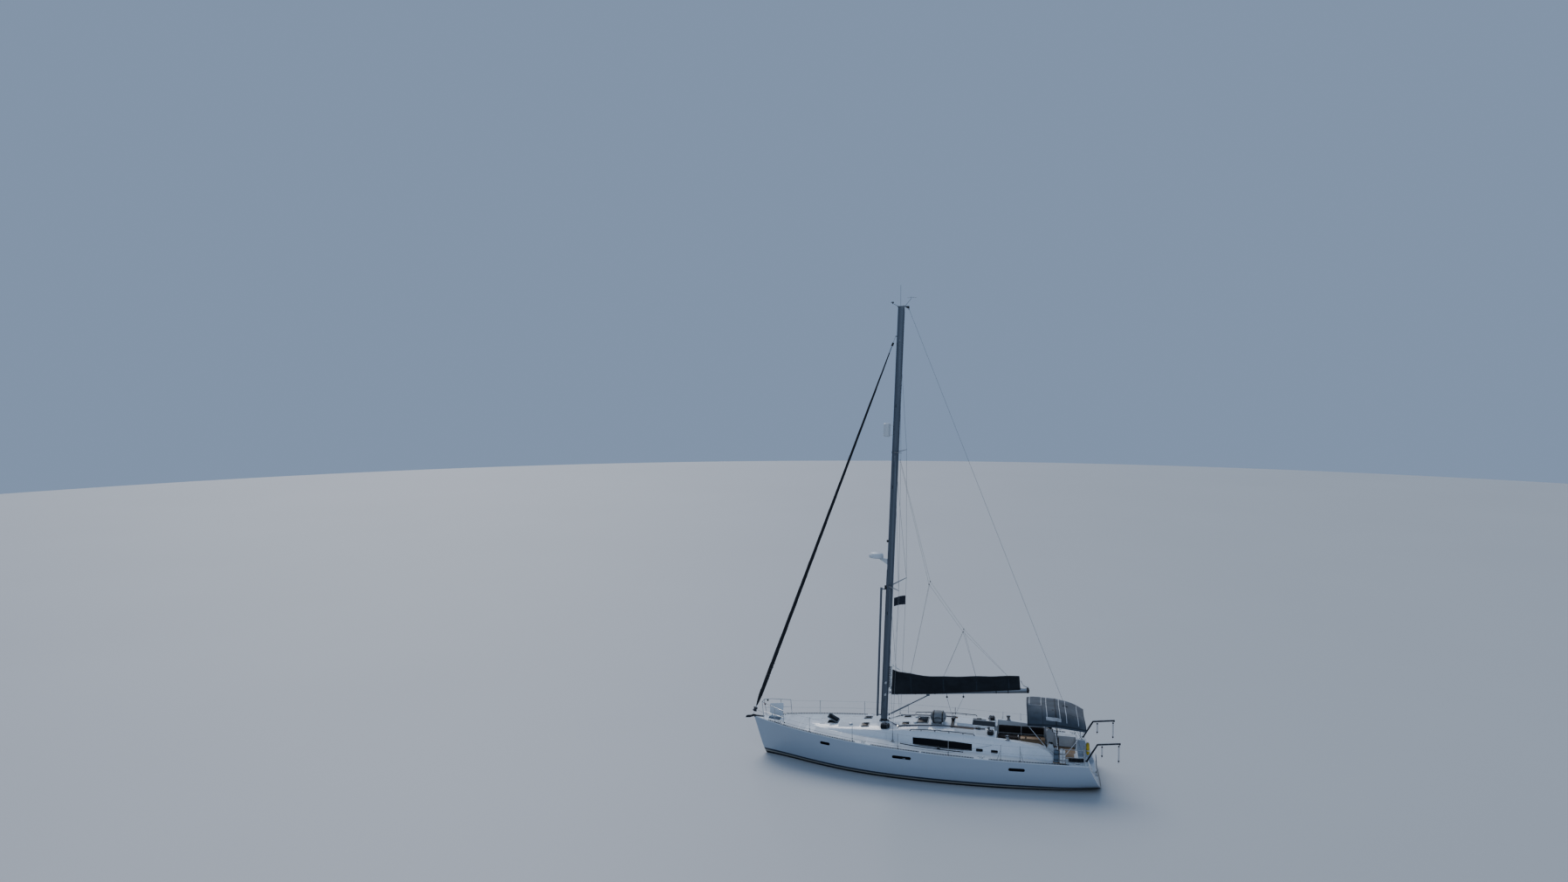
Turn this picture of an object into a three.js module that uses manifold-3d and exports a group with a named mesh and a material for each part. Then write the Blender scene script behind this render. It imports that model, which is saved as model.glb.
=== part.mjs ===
// Sailing yacht of about fifteen metres, at anchor with its sails furled.
// Millimetres: +X forward, +Y to port, +Z up.
// The origin is at the waterline, on the centreline, at mid length.
import * as THREE from "three";
import { mergeVertices } from "three/addons/utils/BufferGeometryUtils.js";
import Module from "manifold-3d";

const wasm = await Module();
wasm.setup();

// Driving dimensions
const seat = 0.3; // between two pieces that touch
const runningGap = 0.8; // between a pin and its bore
const deckThickness = 36;
const deckCamber = 80;
const wallThickness = 36;
const cabinSoleZ = -200;
const cockpitSoleZ = 800;
const cockpitSeatZ = 1210;
const transomDoorHalfWidth = 1050;
const platformZ = 360;
const mastFoot = new THREE.Vector3(1650, 0, 1846);
const mastTopPoint = new THREE.Vector3(960, 0, 19790);
const mastHalfChord = 140;
const mastHalfWidth = 75;
const goosePin = new THREE.Vector3(1390, 0, 3110);
const boomEnd = new THREE.Vector3(-4430, 0, 3570);
const boomHalfHeight = 110;
const boomHalfWidth = 75;
const sides = [
  ["port", 1],
  ["starboard", -1],
];

// Finishes
const finish = (color, roughness, metalness) =>
  new THREE.MeshStandardMaterial({ color, roughness, metalness });
const gelcoat = finish(0xdfe3e6, 0.35, 0);
const deckPaint = finish(0xd6dade, 0.6, 0);
const antifouling = finish(0x11161c, 0.8, 0);
const alloy = finish(0x8d9297, 0.4, 0.8);
const steel = finish(0xb9bec3, 0.25, 0.95);
const wireSteel = finish(0x8a8f94, 0.35, 0.9);
const bronze = finish(0xa8843c, 0.35, 0.9);
const blackPlastic = finish(0x17191c, 0.5, 0);
const whitePlastic = finish(0xdadde0, 0.45, 0);
const tintedAcrylic = finish(0x1a2027, 0.1, 0);
const darkCanvas = finish(0x2a2f36, 0.9, 0);
const greyCanvas = finish(0x46505c, 0.9, 0);
const teak = finish(0x9a7a55, 0.7, 0);
const enginePaint = finish(0x5f676e, 0.5, 0.2);

// Solids
function toSolid(geometry) {
  const bare = geometry.clone();
  bare.deleteAttribute("normal");
  bare.deleteAttribute("uv");
  const merged = mergeVertices(bare, 1e-3);
  const vertProperties = merged.attributes.position.array;
  const triVerts = new Uint32Array(merged.index.array);
  const made = new wasm.Manifold(new wasm.Mesh({ numProp: 3, vertProperties, triVerts }));
  if (made.volume() > 0) return made;
  return new wasm.Manifold(new wasm.Mesh({ numProp: 3, vertProperties, triVerts: triVerts.reverse() }));
}

function toGeometry(solid) {
  const { vertProperties, triVerts } = solid.getMesh();
  const geometry = new THREE.BufferGeometry();
  geometry.setAttribute("position", new THREE.BufferAttribute(new Float32Array(vertProperties), 3));
  geometry.setIndex(new THREE.BufferAttribute(new Uint32Array(triVerts), 1));
  geometry.computeVertexNormals();
  return geometry;
}

const join = (...solids) => solids.flat().reduce((all, next) => all.add(next));
const cut = (solid, ...tools) => tools.flat().reduce((rest, tool) => rest.subtract(tool), solid);
const point = (x, y, z) => new THREE.Vector3(x, y, z);
const upward = point(0, 0, 1);

function box(x0, x1, y0, y1, z0, z1) {
  const geometry = new THREE.BoxGeometry(x1 - x0, y1 - y0, z1 - z0);
  return toSolid(geometry.translate((x0 + x1) / 2, (y0 + y1) / 2, (z0 + z1) / 2));
}

// A straight round bar from one point to another, which may taper.
function rod(from, to, radius, facets = 8, endRadius = radius) {
  const way = to.clone().sub(from);
  const geometry = new THREE.CylinderGeometry(endRadius, radius, way.length(), facets);
  geometry.translate(0, way.length() / 2, 0);
  geometry.applyQuaternion(new THREE.Quaternion().setFromUnitVectors(point(0, 1, 0), way.normalize()));
  return toSolid(geometry.translate(from.x, from.y, from.z));
}

const ball = (at, radius) => toSolid(new THREE.SphereGeometry(radius, 8, 6).translate(at.x, at.y, at.z));
const moved = (solid, matrix) => toSolid(toGeometry(solid).applyMatrix4(matrix));
const raised = (solid, up) => moved(solid, new THREE.Matrix4().makeTranslation(0, 0, up));

// A body turned about a line: pairs of [distance along it, radius], closed on the axis or on themselves.
function turned(profile, from, direction, facets = 16) {
  const outline = profile.map(([along, radius]) => new THREE.Vector2(radius, along));
  const geometry = new THREE.LatheGeometry(outline, facets);
  const way = direction.clone().normalize();
  geometry.applyQuaternion(new THREE.Quaternion().setFromUnitVectors(point(0, 1, 0), way));
  return toSolid(geometry.translate(from.x, from.y, from.z));
}

// A closed skin through rings of points that all list the same number of points in the same order.
function loft(rings) {
  const count = rings[0].length;
  const middle = (ring) => ring.reduce((sum, p) => sum.add(p), point(0, 0, 0)).divideScalar(count);
  const points = [...rings.flat(), middle(rings[0]), middle(rings.at(-1))];
  const firstMiddle = rings.length * count;
  const lastStart = firstMiddle - count;
  const index = [];
  for (let i = 0; i < count; i++) {
    const next = (i + 1) % count;
    for (let start = 0; start < lastStart; start += count) {
      index.push(start + i, start + next, start + count + next);
      index.push(start + i, start + count + next, start + count + i);
    }
    index.push(next, i, firstMiddle);
    index.push(lastStart + i, lastStart + next, firstMiddle + 1);
  }
  const geometry = new THREE.BufferGeometry().setFromPoints(points);
  geometry.setIndex(index);
  return toSolid(geometry);
}

// A bent tube, mitred at each bend: every ring is the one before it, carried along to the bend's plane.
function bentTube(points, radius, facets = 8) {
  const ways = points.slice(1).map((to, i) => to.clone().sub(points[i]).normalize());
  const turn = new THREE.Quaternion().setFromUnitVectors(upward, ways[0]);
  const corner = (i) => (2 * Math.PI * (i + 0.5)) / facets;
  let ring = Array.from({ length: facets }, (_, i) =>
    point(radius * Math.cos(corner(i)), radius * Math.sin(corner(i)), 0).applyQuaternion(turn).add(points[0]),
  );
  const rings = [ring];
  ways.forEach((way, i) => {
    const facing = way.clone().add(ways[i + 1] ?? way).normalize();
    const reach = (p) => points[i + 1].clone().sub(p).dot(facing) / way.dot(facing);
    ring = ring.map((p) => p.clone().addScaledVector(way, reach(p)));
    rings.push(ring);
  });
  return loft(rings);
}

// A flat outline made thick: seen from above, from the side (x, z) or from ahead (y, z).
function prism(outline, view, from, to) {
  const shape = new THREE.Shape(outline.map(([a, b]) => new THREE.Vector2(a, b)));
  const geometry = new THREE.ExtrudeGeometry(shape, { depth: to - from, bevelEnabled: false });
  geometry.translate(0, 0, from);
  const axes = {
    above: [point(1, 0, 0), point(0, 1, 0), point(0, 0, 1)],
    side: [point(1, 0, 0), point(0, 0, 1), point(0, 1, 0)],
    ahead: [point(0, 1, 0), point(0, 0, 1), point(1, 0, 0)],
  }[view];
  return toSolid(geometry.applyMatrix4(new THREE.Matrix4().makeBasis(...axes)));
}

// Rows of numbers under named columns, and the value of one column at x on a smooth curve through the rows.
const table = (columns, rows) =>
  rows.map((row) => Object.fromEntries(row.map((value, i) => [columns[i], value])));

function along(rows, column, x) {
  const found = rows.findIndex((row) => row.x <= x);
  const i = Math.max(1, found < 0 ? rows.length - 1 : found);
  const [before, a, b, after] = [i - 2, i - 1, i, i + 1].map(
    (place) => rows[Math.min(rows.length - 1, Math.max(0, place))],
  );
  const width = b.x - a.x;
  const slopeA = ((b[column] - before[column]) / (b.x - before.x)) * width;
  const slopeB = ((after[column] - a[column]) / (after.x - a.x)) * width;
  const t = THREE.MathUtils.clamp((x - a.x) / width, 0, 1);
  const t2 = t * t;
  const t3 = t2 * t;
  const fromA = (2 * t3 - 3 * t2 + 1) * a[column] + (t3 - 2 * t2 + t) * slopeA;
  return fromA + (3 * t2 - 2 * t3) * b[column] + (t3 - t2) * slopeB;
}

const range = (from, to, steps) =>
  Array.from({ length: steps + 1 }, (_, i) => from + ((to - from) * i) / steps);

const root = new THREE.Group();
function add(name, solid, material, parent = root) {
  const mesh = new THREE.Mesh(toGeometry(solid), material);
  mesh.name = name;
  parent.add(mesh);
  return mesh;
}

// Hull lines.
// A half section is one curve from the sheer to the keel line, pulled by a side and a bilge control.
const bowX = 7500;
const sternDeckX = -6870;
const hullRows = table(
  ["x", "halfBeam", "keelZ", "sideY", "sideZ", "bilgeY"],
  [
    [bowX, 22, -380, 22, 600, 22],
    [6000, 800, -440, 580, 250, 400],
    [4500, 1360, -500, 1200, 150, 930],
    [3000, 1780, -560, 1720, 30, 1290],
    [1500, 2040, -610, 2040, -50, 1520],
    [0, 2190, -640, 2215, -80, 1633],
    [-1500, 2245, -630, 2275, -90, 1683],
    [-3000, 2220, -560, 2250, -40, 1777],
    [-4500, 2140, -420, 2165, 60, 1825],
    [-6000, 2020, -190, 2040, 200, 1900],
    [sternDeckX, 1950, -20, 1960, 330, 1600],
  ],
);
const halfBeam = (x) => along(hullRows, "halfBeam", x);
const sheerZ = (x) => 1340 + 0.03 * x + 1.333e-6 * x * x;
const deckZ = (x, y) => {
  const beam = halfBeam(x);
  return sheerZ(x) + deckCamber * Math.min(1, beam / 2000) * (1 - Math.min(1, (y / beam) ** 2));
};

// The stem leans forward and the transom leans aft towards the water.
function leanedX(x, depthShare) {
  const bowLean = Math.max(0, (x - 1500) / (bowX - 1500)) ** 2;
  const sternLean = Math.max(0, (-5500 - x) / (-5500 - sternDeckX)) ** 2;
  return x - bowLean * (615 * depthShare + 585 * depthShare ** 10) - 580 * sternLean * depthShare;
}

const deckShares = range(-1, 1, 8);
function hullRing(x) {
  const get = (column) => along(hullRows, column, x);
  const [beam, keelZ] = [get("halfBeam"), get("keelZ")];
  const topZ = sheerZ(x) - deckThickness - seat;
  const curve = new THREE.CubicBezierCurve(
    new THREE.Vector2(beam, topZ),
    new THREE.Vector2(get("sideY"), get("sideZ")),
    new THREE.Vector2(get("bilgeY"), keelZ),
    new THREE.Vector2(0, keelZ),
  );
  const half = curve.getPoints(12);
  const at = (y, z) => point(leanedX(x, Math.max(0, (topZ - z) / (topZ - keelZ))), y, z);
  const portSide = half.map((p) => at(p.x, p.y));
  const starboardSide = half.slice(0, -1).reverse().map((p) => at(-p.x, p.y));
  const across = deckShares.slice(1, -1).map((share) => {
    const y = share * beam;
    return point(x, y, deckZ(x, y) - deckThickness - seat);
  });
  return [...portSide, ...starboardSide, ...across];
}

const hullStations = [...range(bowX, 6000, 4), ...range(5500, -5500, 22), ...range(-5900, sternDeckX, 3)];
const hullBody = loft(hullStations.map(hullRing));
const loweredHull = (down) => {
  const lowered = (p) => point(p.x, p.y, p.z - (p.z < 0 ? down : 0));
  return loft(hullStations.map((x) => hullRing(x).map(lowered)));
};
const hullBelow = loweredHull(seat);

function deckLayer(top, bottom) {
  return loft(
    hullStations.map((x) => {
      const beam = halfBeam(x);
      const at = (height) =>
        deckShares.map((share) => point(x, share * beam, deckZ(x, share * beam) + height));
      return [...at(bottom), ...at(top).reverse()];
    }),
  );
}
const underDeck = deckLayer(seat, -300);

// Plan of the cabin well that opens into the coachroof, and the wells cut into hull and deck.
const cabinPlan = [
  [-3030, 1250],
  [900, 1150],
  [2500, 860],
  [4250, 430],
  [4250, -430],
  [2500, -860],
  [900, -1150],
  [-3030, -1250],
];
const engineBay = box(-3900, -3010, -420, 420, cabinSoleZ, 560);
const companionwayPassage = box(-3300, -3000, -310, 310, 960, 2300);
const cockpitX = [-6560, -3100];
const cockpitHalfWidth = 1420;
const lockerPlan = [
  [6280, 250],
  [6830, 170],
  [6830, -170],
  [6280, -250],
];
const lockerDepth = 330;
const lockerRoom = prism(lockerPlan, "above", 900, 2000);

// The locker lid turns about a pin along its starboard edge, carried on two lugs on the deck.
const lockerKnuckleRadius = 13;
const lockerKnuckles = [90, 470].map((x) => [x, x + 60]);
const lockerLid = new THREE.Group();
lockerLid.position.set(6255, -290, deckZ(6255, 290) + 24);
lockerLid.rotation.y = -Math.atan2(sheerZ(6860) - sheerZ(6260), 600);
lockerLid.updateMatrix();
root.add(lockerLid);

const rudderStock = point(-6150, 0, 0);
const stockRadius = 40;
const shaftRadius = 20;
const shaftFrom = point(-3420, 0, -440);
const shaftTo = point(-4760, 0, -790);
const shaftWay = shaftTo.clone().sub(shaftFrom).normalize();
const onShaft = (distance) => shaftFrom.clone().addScaledVector(shaftWay, distance);

function hull() {
  const cabin = prism(cabinPlan, "above", cabinSoleZ, 2000);
  const locker = prism(lockerPlan, "above", deckZ(6500, 0) - lockerDepth, 2000);
  const well = cockpitHalfWidth + seat;
  const cockpit = box(cockpitX[0] - 1, cockpitX[1] + seat, -well, well, cockpitSoleZ - 40 - seat, 2000);
  const platform = box(-8000, -6800, -transomDoorHalfWidth, transomDoorHalfWidth, platformZ, 2000);
  const step = box(-6801, -6559, -transomDoorHalfWidth, transomDoorHalfWidth, 580, 2000);
  const onStock = (z) => point(rudderStock.x, 0, z);
  const stockBore = rod(onStock(-500), onStock(700), stockRadius + runningGap, 24);
  const shaftBore = rod(onShaft(-180), onShaft(700), shaftRadius + runningGap, 14);
  const rooms = [cabin, engineBay, companionwayPassage, locker, cockpit, platform, step];
  add("hull", cut(hullBody, rooms, stockBore, shaftBore), gelcoat);
}

function deck() {
  const opening = cockpitHalfWidth + seat;
  const cockpit = box(cockpitX[0] - 1, cockpitX[1] + seat, -opening, opening, 900, 2000);
  const door = box(-8000, -6500, -transomDoorHalfWidth, transomDoorHalfWidth, 900, 2000);
  const coachroofHole = prism(roofPlan(75), "above", 900, 2000);
  const openings = [coachroofHole, prism(lockerPlan, "above", 900, 2000), cockpit, companionwayPassage, door];
  const lugs = lockerKnuckles.map(([from, to]) =>
    moved(box(from, to, -18, -seat, -40, -lockerKnuckleRadius - seat), lockerLid.matrix),
  );
  add("deck", join(cut(deckLayer(0, -deckThickness), openings), lugs), deckPaint);
}

// Coachroof sections: its foot on the deck, its roof edge and its crown.
const roofRows = table(
  ["x", "footY", "edgeY", "edgeZ", "crownZ"],
  [
    [4900, 300, 280, 1572, 1578],
    [3900, 800, 720, 1600, 1645],
    [2400, 1100, 960, 1695, 1775],
    [1650, 1200, 1040, 1755, 1845],
    [1000, 1290, 1100, 1815, 1900],
    [300, 1440, 1180, 1875, 1962],
    [-1000, 1560, 1260, 1925, 2015],
    [-2200, 1590, 1290, 1895, 1992],
    [-3100, 1600, 1310, 1850, 1960],
  ],
);
const roofX = [4900, -3100];
const roofZ = (x, y) => {
  const [edgeY, edgeZ, crownZ] = ["edgeY", "edgeZ", "crownZ"].map((column) => along(roofRows, column, x));
  return edgeZ + (crownZ - edgeZ) * (1 - (y / edgeY) ** 2);
};

function roofPlan(inset) {
  const port = range(4250, -3030, 8).map((x) => [x, along(roofRows, "footY", x) - inset]);
  return [...port, ...port.map(([x, y]) => [x, -y]).reverse()];
}

// The coachroof's outer skin, grown outwards by some amount. Its foot reaches below the deck.
const roofSink = 60;
function roofBody(grow, fromX = roofX[0], toX = roofX[1]) {
  const ring = (x) => {
    const [footY, edgeY] = ["footY", "edgeY"].map((column) => along(roofRows, column, x) + grow);
    const edgeZ = along(roofRows, "edgeZ", x) + grow;
    const footZ = Math.min(deckZ(x, footY - grow), edgeZ - grow - 6);
    const roundY = edgeY - Math.min(50, edgeY * 0.1);
    const topZ = (share) => roofZ(x, (edgeY - grow) * 0.95 * share) + grow;
    const top = [1, 0.6, 0.2].map((share) => [roundY * share, topZ(share)]);
    const middle = [footY * 0.55 + edgeY * 0.45, footZ * 0.5 + (edgeZ - 25) * 0.5];
    const half = [[footY, footZ - roofSink], [footY, footZ], middle, [edgeY, edgeZ - 25], ...top];
    const port = half.map(([y, z]) => point(x, y, z));
    const starboard = half.map(([y, z]) => point(x, -y, z)).reverse();
    return [...port, ...starboard];
  };
  return loft(range(fromX, toX, Math.round((fromX - toX) / 400)).map(ring));
}
const aboveRoof = roofBody(seat);

// The long side windows, drawn from the side.
const windowOutline = (grow) => [
  [235 + grow, 1622 + grow],
  [-700, 1645 + grow],
  [-1300, 1622 + grow],
  [-2190 - grow, 1574 + grow],
  [-2200 - grow, 1372 - grow],
  [-1300, 1372 - grow],
  [-80, 1404 - grow],
  [215 + grow, 1424 - grow],
];
const hatchTable = table(
  ["name", "x", "y", "length", "width", "openDegrees"],
  [
    ["forehatch_lid", 3915, 0, 520, 560, 32],
    ["hatch_port", 2405, 490, 340, 400, 0],
    ["hatch_starboard", 2405, -490, 340, 400, 0],
    ["hatch_saloon", -60, 0, 480, 820, 0],
  ],
);
const companionwayHalfWidth = 310;

// A hatch turns about a pin along its aft edge, carried on two low cradles on the roof.
const hatchKnuckleRadius = 9;
const hatchPinHeight = 16;
function hatchHinge({ x, y, length }) {
  const aft = x - length / 2;
  const pitch = Math.atan2(roofZ(x + length / 2, y) - roofZ(aft, y), length);
  const roll = Math.atan2(roofZ(aft, y + 100) - roofZ(aft, y - 100), 200);
  const hinge = new THREE.Group();
  hinge.position.set(aft, y, roofZ(aft, y) + hatchPinHeight);
  hinge.rotation.set(roll, -pitch, 0, "YXZ");
  hinge.updateMatrix();
  return hinge;
}
const knuckleSpans = (width) => [-1, 1].map((side) => [side * width * 0.3 - 30, side * width * 0.3 + 30]);

function sidePrism(outline, side, from, to) {
  return prism(outline, "side", Math.min(side * from, side * to), Math.max(side * from, side * to));
}

function coachroof() {
  const inside = roofBody(-wallThickness, roofX[0] - 700, roofX[1] + wallThickness);
  const windows = sides.map(([, side]) => sidePrism(windowOutline(0), side, 1000, 1900));
  const hatches = hatchTable.map(({ x, y, length, width }) =>
    box(x - length / 2 + 45, x + length / 2 - 45, y - width / 2 + 45, y + width / 2 - 45, 1300, 2300),
  );
  const doorTop = box(-3200, -2450, -companionwayHalfWidth, companionwayHalfWidth, 1200, 2300);
  const cradles = hatchTable.flatMap((hatch) =>
    knuckleSpans(hatch.width).map(([from, to]) =>
      moved(box(-12, -seat, from, to, -40, -hatchKnuckleRadius - seat), hatchHinge(hatch).matrix),
    ),
  );
  add("coachroof", join(cut(roofBody(0), inside, windows, hatches, doorTop, underDeck), cradles), gelcoat);
  const paneSkin = cut(roofBody(8), aboveRoof, underDeck);
  for (const [side, sign] of sides) {
    add(`window_${side}`, paneSkin.intersect(sidePrism(windowOutline(22), sign, 1000, 1900)), tintedAcrylic);
  }
}

// Hatch lids: a frame that sits on the roof, with a tinted pane raised in it.
function hatchLids() {
  for (const hatch of hatchTable) {
    const { name, length, width, openDegrees } = hatch;
    const hinge = hatchHinge(hatch);
    const plate = box(0, length, -width / 2, width / 2, -40, 6);
    const pane = box(30, length - 30, -width / 2 + 30, width / 2 - 30, 5, 14);
    const knuckles = knuckleSpans(width).map(([from, to]) =>
      rod(point(0, from, 0), point(0, to, 0), hatchKnuckleRadius, 16),
    );
    const lid = cut(moved(join(plate, pane, knuckles), hinge.matrix), aboveRoof);
    const closed = moved(lid, hinge.matrix.clone().invert());
    hinge.rotateY(-THREE.MathUtils.degToRad(openDegrees));
    root.add(hinge);
    add(name, closed, tintedAcrylic, hinge);
  }
}

// Companionway: a sliding hatch between two runners, and the hood that it slides under.
const slideSlope = Math.atan2(roofZ(-1600, 0) - roofZ(-3100, 0), 1500);
const hoodFront = 1580;
const hoodBack = 930;
function companionway() {
  const slideway = new THREE.Group();
  slideway.position.set(-3100, 0, roofZ(-3100, 0));
  slideway.rotation.y = -slideSlope;
  slideway.updateMatrix();
  root.add(slideway);
  const runners = [
    [345, 390],
    [-390, -345],
  ].map(([fromY, toY]) => box(10, hoodBack + 5, fromY, toY, -60, 48));
  const hoodInside = box(hoodBack - 9, hoodFront - 30, -345, 345, -99, 74);
  const shell = cut(box(hoodBack, hoodFront, -390, 390, -60, 92), hoodInside);
  add("sea_hood", cut(moved(join(shell, runners), slideway.matrix), aboveRoof), gelcoat);
  const plate = box(-14, 916, -344.5, 344.5, 16, 36);
  const handleLine = [point(20, -120, 30), point(20, -120, 58), point(20, 120, 58), point(20, 120, 30)];
  const handle = bentTube(handleLine, 8);
  add("companionway_hatch", join(plate, handle), tintedAcrylic, slideway);
  const stepRise = 235;
  const treads = range(1, 4, 3).map((i) => {
    const top = cabinSoleZ + stepRise * i;
    return box(-3029, -2500 - 110 * i, -290, 290, top - 25, top);
  });
  const cheek = [
    [-3029, cabinSoleZ + seat],
    [-2560, cabinSoleZ + seat],
    [-2900, 760],
    [-3029, 760],
  ];
  const cheeks = [-1, 1].map((side) => sidePrism(cheek, side, 275, 300));
  add("companionway_steps", join(treads, cheeks), teak);
}

// Cockpit moulding: coamings above the deck, seats, sole, and the open way through the transom.
const coamingRows = table(
  ["x", "footY", "topY", "topZ"],
  [
    [-3100, 1600, 1330, 1850],
    [-3620, 1625, 1420, 1822],
    [-4400, 1670, 1510, 1760],
    [-5090, 1700, 1590, 1690],
    [-5450, 1720, 1660, 1480],
    [-5650, 1735, 1700, 1310],
  ],
);
const coamings = loft(
  range(cockpitX[1] - seat, coamingRows.at(-1).x, 7).map((x) => {
    const [footY, topY, topZ] = ["footY", "topY", "topZ"].map((column) => along(coamingRows, column, x));
    const footZ = deckZ(x, footY);
    const half = [[footY, footZ - 30], [footY, footZ], [topY, topZ - 30], [topY - 40, topZ]];
    const port = half.map(([y, z]) => point(x, y, z));
    return [...port, ...half.map(([y, z]) => point(x, -y, z)).reverse()];
  }),
);
const coamingTop = raised(coamings, seat);

function cockpitTub() {
  const [aftX, foreX] = [cockpitX[0], cockpitX[1] - seat];
  const liner = box(aftX, foreX, -cockpitHalfWidth, cockpitHalfWidth, cockpitSoleZ - 40, 2000);
  const overDeck = cut(box(aftX - 9, foreX + 9, -1500, 1500, 1000, 2100), deckLayer(0, -400));
  const deckOutside = cut(underDeck, box(aftX - 9, foreX + 9, -cockpitHalfWidth, cockpitHalfWidth, 0, 2100));
  const body = join(cut(liner, overDeck), cut(coamings, deckOutside));
  const footwell = box(-7000, -3200, -520, 520, cockpitSoleZ, 2500);
  const seating = box(-5210, -3200, -1180, 1180, cockpitSeatZ, 2500);
  const helms = box(-6500, -5200, -1360, 1360, cockpitSoleZ, 2500);
  const way = box(-7000, -6400, -transomDoorHalfWidth, transomDoorHalfWidth, cockpitSoleZ, 2500);
  const passage = box(-3300, -3000, -companionwayHalfWidth, companionwayHalfWidth, 960, 2500);
  add("cockpit_tub", cut(body, footwell, seating, helms, way, passage), gelcoat);
}

// Below the water: ballast keel with a bulb, rudder, shaft, propeller and their bracket.
const keelTopZ = -600;
const rudderTopZ = -206;
const keelBottomZ = -2150;
function foilRing(nose, chord, halfThickness, z) {
  const outline = [[0, 0], [0.1, 0.7], [0.3, 1], [0.6, 0.75], [1, 0.06]];
  const port = outline.map(([share, width]) => point(nose - share * chord, width * halfThickness, z));
  const starboard = outline
    .slice(1)
    .reverse()
    .map(([share, width]) => point(nose - share * chord, -width * halfThickness, z));
  return [...port, ...starboard];
}

function ballastKeel() {
  const fin = loft([foilRing(900, 1900, 130, keelTopZ + 120), foilRing(560, 1450, 95, keelBottomZ + 140)]);
  const bulbProfile = [[0, 0], [80, 120], [420, 215], [1200, 235], [1900, 130], [2250, 0]];
  const bulb = turned(bulbProfile, point(800, 0, keelBottomZ + 210), point(-1, 0, 0), 14);
  const flatSole = box(-1600, 900, -400, 400, keelBottomZ - 200, keelBottomZ);
  add("ballast_keel", cut(join(fin, bulb), flatSole, hullBelow), antifouling);
}

function rudder() {
  const blade = loft([foilRing(-5960, 620, 52, rudderTopZ), foilRing(-6020, 380, 30, -1780)]);
  const stock = rod(point(rudderStock.x, 0, rudderTopZ - 200), point(rudderStock.x, 0, 640), stockRadius, 16);
  add("rudder", join(blade, stock), antifouling);
}

function bearing(from, length, radius) {
  const bore = shaftRadius + runningGap;
  const profile = [
    [0, bore],
    [0, radius],
    [length, radius],
    [length, bore],
    [0, bore],
  ];
  return turned(profile, onShaft(from), shaftWay, 14);
}

const bladeRows = table(
  ["radius", "halfChord", "halfThick"],
  [
    [30, 25, 9],
    [130, 53, 7],
    [215, 44, 5],
    [250, 16, 3],
  ],
);
function propellerBlade(degrees, middle) {
  const angle = THREE.MathUtils.degToRad(degrees);
  const toShaft = new THREE.Quaternion().setFromUnitVectors(point(-1, 0, 0), shaftWay);
  const out = point(0, Math.sin(angle), Math.cos(angle)).applyQuaternion(toShaft);
  const across = shaftWay.clone().cross(out).normalize();
  return loft(
    bladeRows.map(({ radius, halfChord, halfThick }) => {
      const pitch = THREE.MathUtils.degToRad(62 - radius * 0.12);
      const chordWay = across.clone().multiplyScalar(Math.sin(pitch));
      chordWay.addScaledVector(shaftWay, Math.cos(pitch));
      const thickWay = chordWay.clone().cross(out).normalize();
      const centre = middle.clone().addScaledVector(out, radius);
      return [[-1, 0], [0, 1], [1, 0], [0, -1]].map(([along, over]) =>
        centre.clone().addScaledVector(chordWay, along * halfChord).addScaledVector(thickWay, over * halfThick),
      );
    }),
  );
}

function drive() {
  const shaftLength = shaftTo.distanceTo(shaftFrom);
  add("prop_shaft", rod(onShaft(-160), onShaft(shaftLength - 60), shaftRadius, 14), steel);
  const hubProfile = [[0, 0], [0, 50], [110, 55], [190, 30], [215, 0]];
  const hub = turned(hubProfile, onShaft(shaftLength - 60 + seat), shaftWay, 14);
  const blades = [0, 120, 240].map((degrees) => propellerBlade(degrees, onShaft(shaftLength - 5)));
  add("propeller", join(hub, blades), bronze);
  const strutFoot = onShaft(1010);
  const strutRing = (z, half) => [
    point(strutFoot.x + half, 0, z),
    point(strutFoot.x, half * 0.2, z),
    point(strutFoot.x - half, 0, z),
    point(strutFoot.x, -half * 0.2, z),
  ];
  const strut = loft([strutRing(strutFoot.z, 60), strutRing(0, 80)]);
  const bore = rod(onShaft(900), onShaft(1130), shaftRadius + runningGap, 14);
  add("shaft_bracket", cut(join(bearing(940, 150, 42), strut), bore, hullBelow), bronze);
  add("stern_tube", cut(bearing(180, 330, 46), hullBelow), bronze);
  add("engine", box(-3760, -3060, -260, 260, cabinSoleZ + seat, 340), enginePaint);
}

// Spars. Places on the mast are given by height along it, and offsets ahead and to port.
const mastWay = mastTopPoint.clone().sub(mastFoot).normalize();
const mastLength = mastTopPoint.distanceTo(mastFoot);
const mastGroup = new THREE.Group();
mastGroup.position.copy(mastFoot);
mastGroup.rotation.y = Math.atan2(mastWay.x, mastWay.z);
root.add(mastGroup);
const mastFore = point(mastWay.z, 0, -mastWay.x);
const onMast = (height, ahead, port) =>
  mastFoot.clone().addScaledVector(mastWay, height).addScaledVector(mastFore, ahead).add(point(0, port, 0));
const heightOf = (z) => (z - mastFoot.z) / mastWay.z;

// Cuts a solid that is drawn in a group's own frame by tools that are drawn in the boat's frame.
function cutInPlace(solid, group, ...tools) {
  group.updateMatrix();
  return moved(cut(moved(solid, group.matrix), tools), group.matrix.clone().invert());
}

function ovalOutline(halfLong, halfWide, count = 16) {
  return range(0, 2 * Math.PI, count)
    .slice(0, -1)
    .map((angle) => [halfLong * Math.cos(angle), halfWide * Math.sin(angle)]);
}

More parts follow.
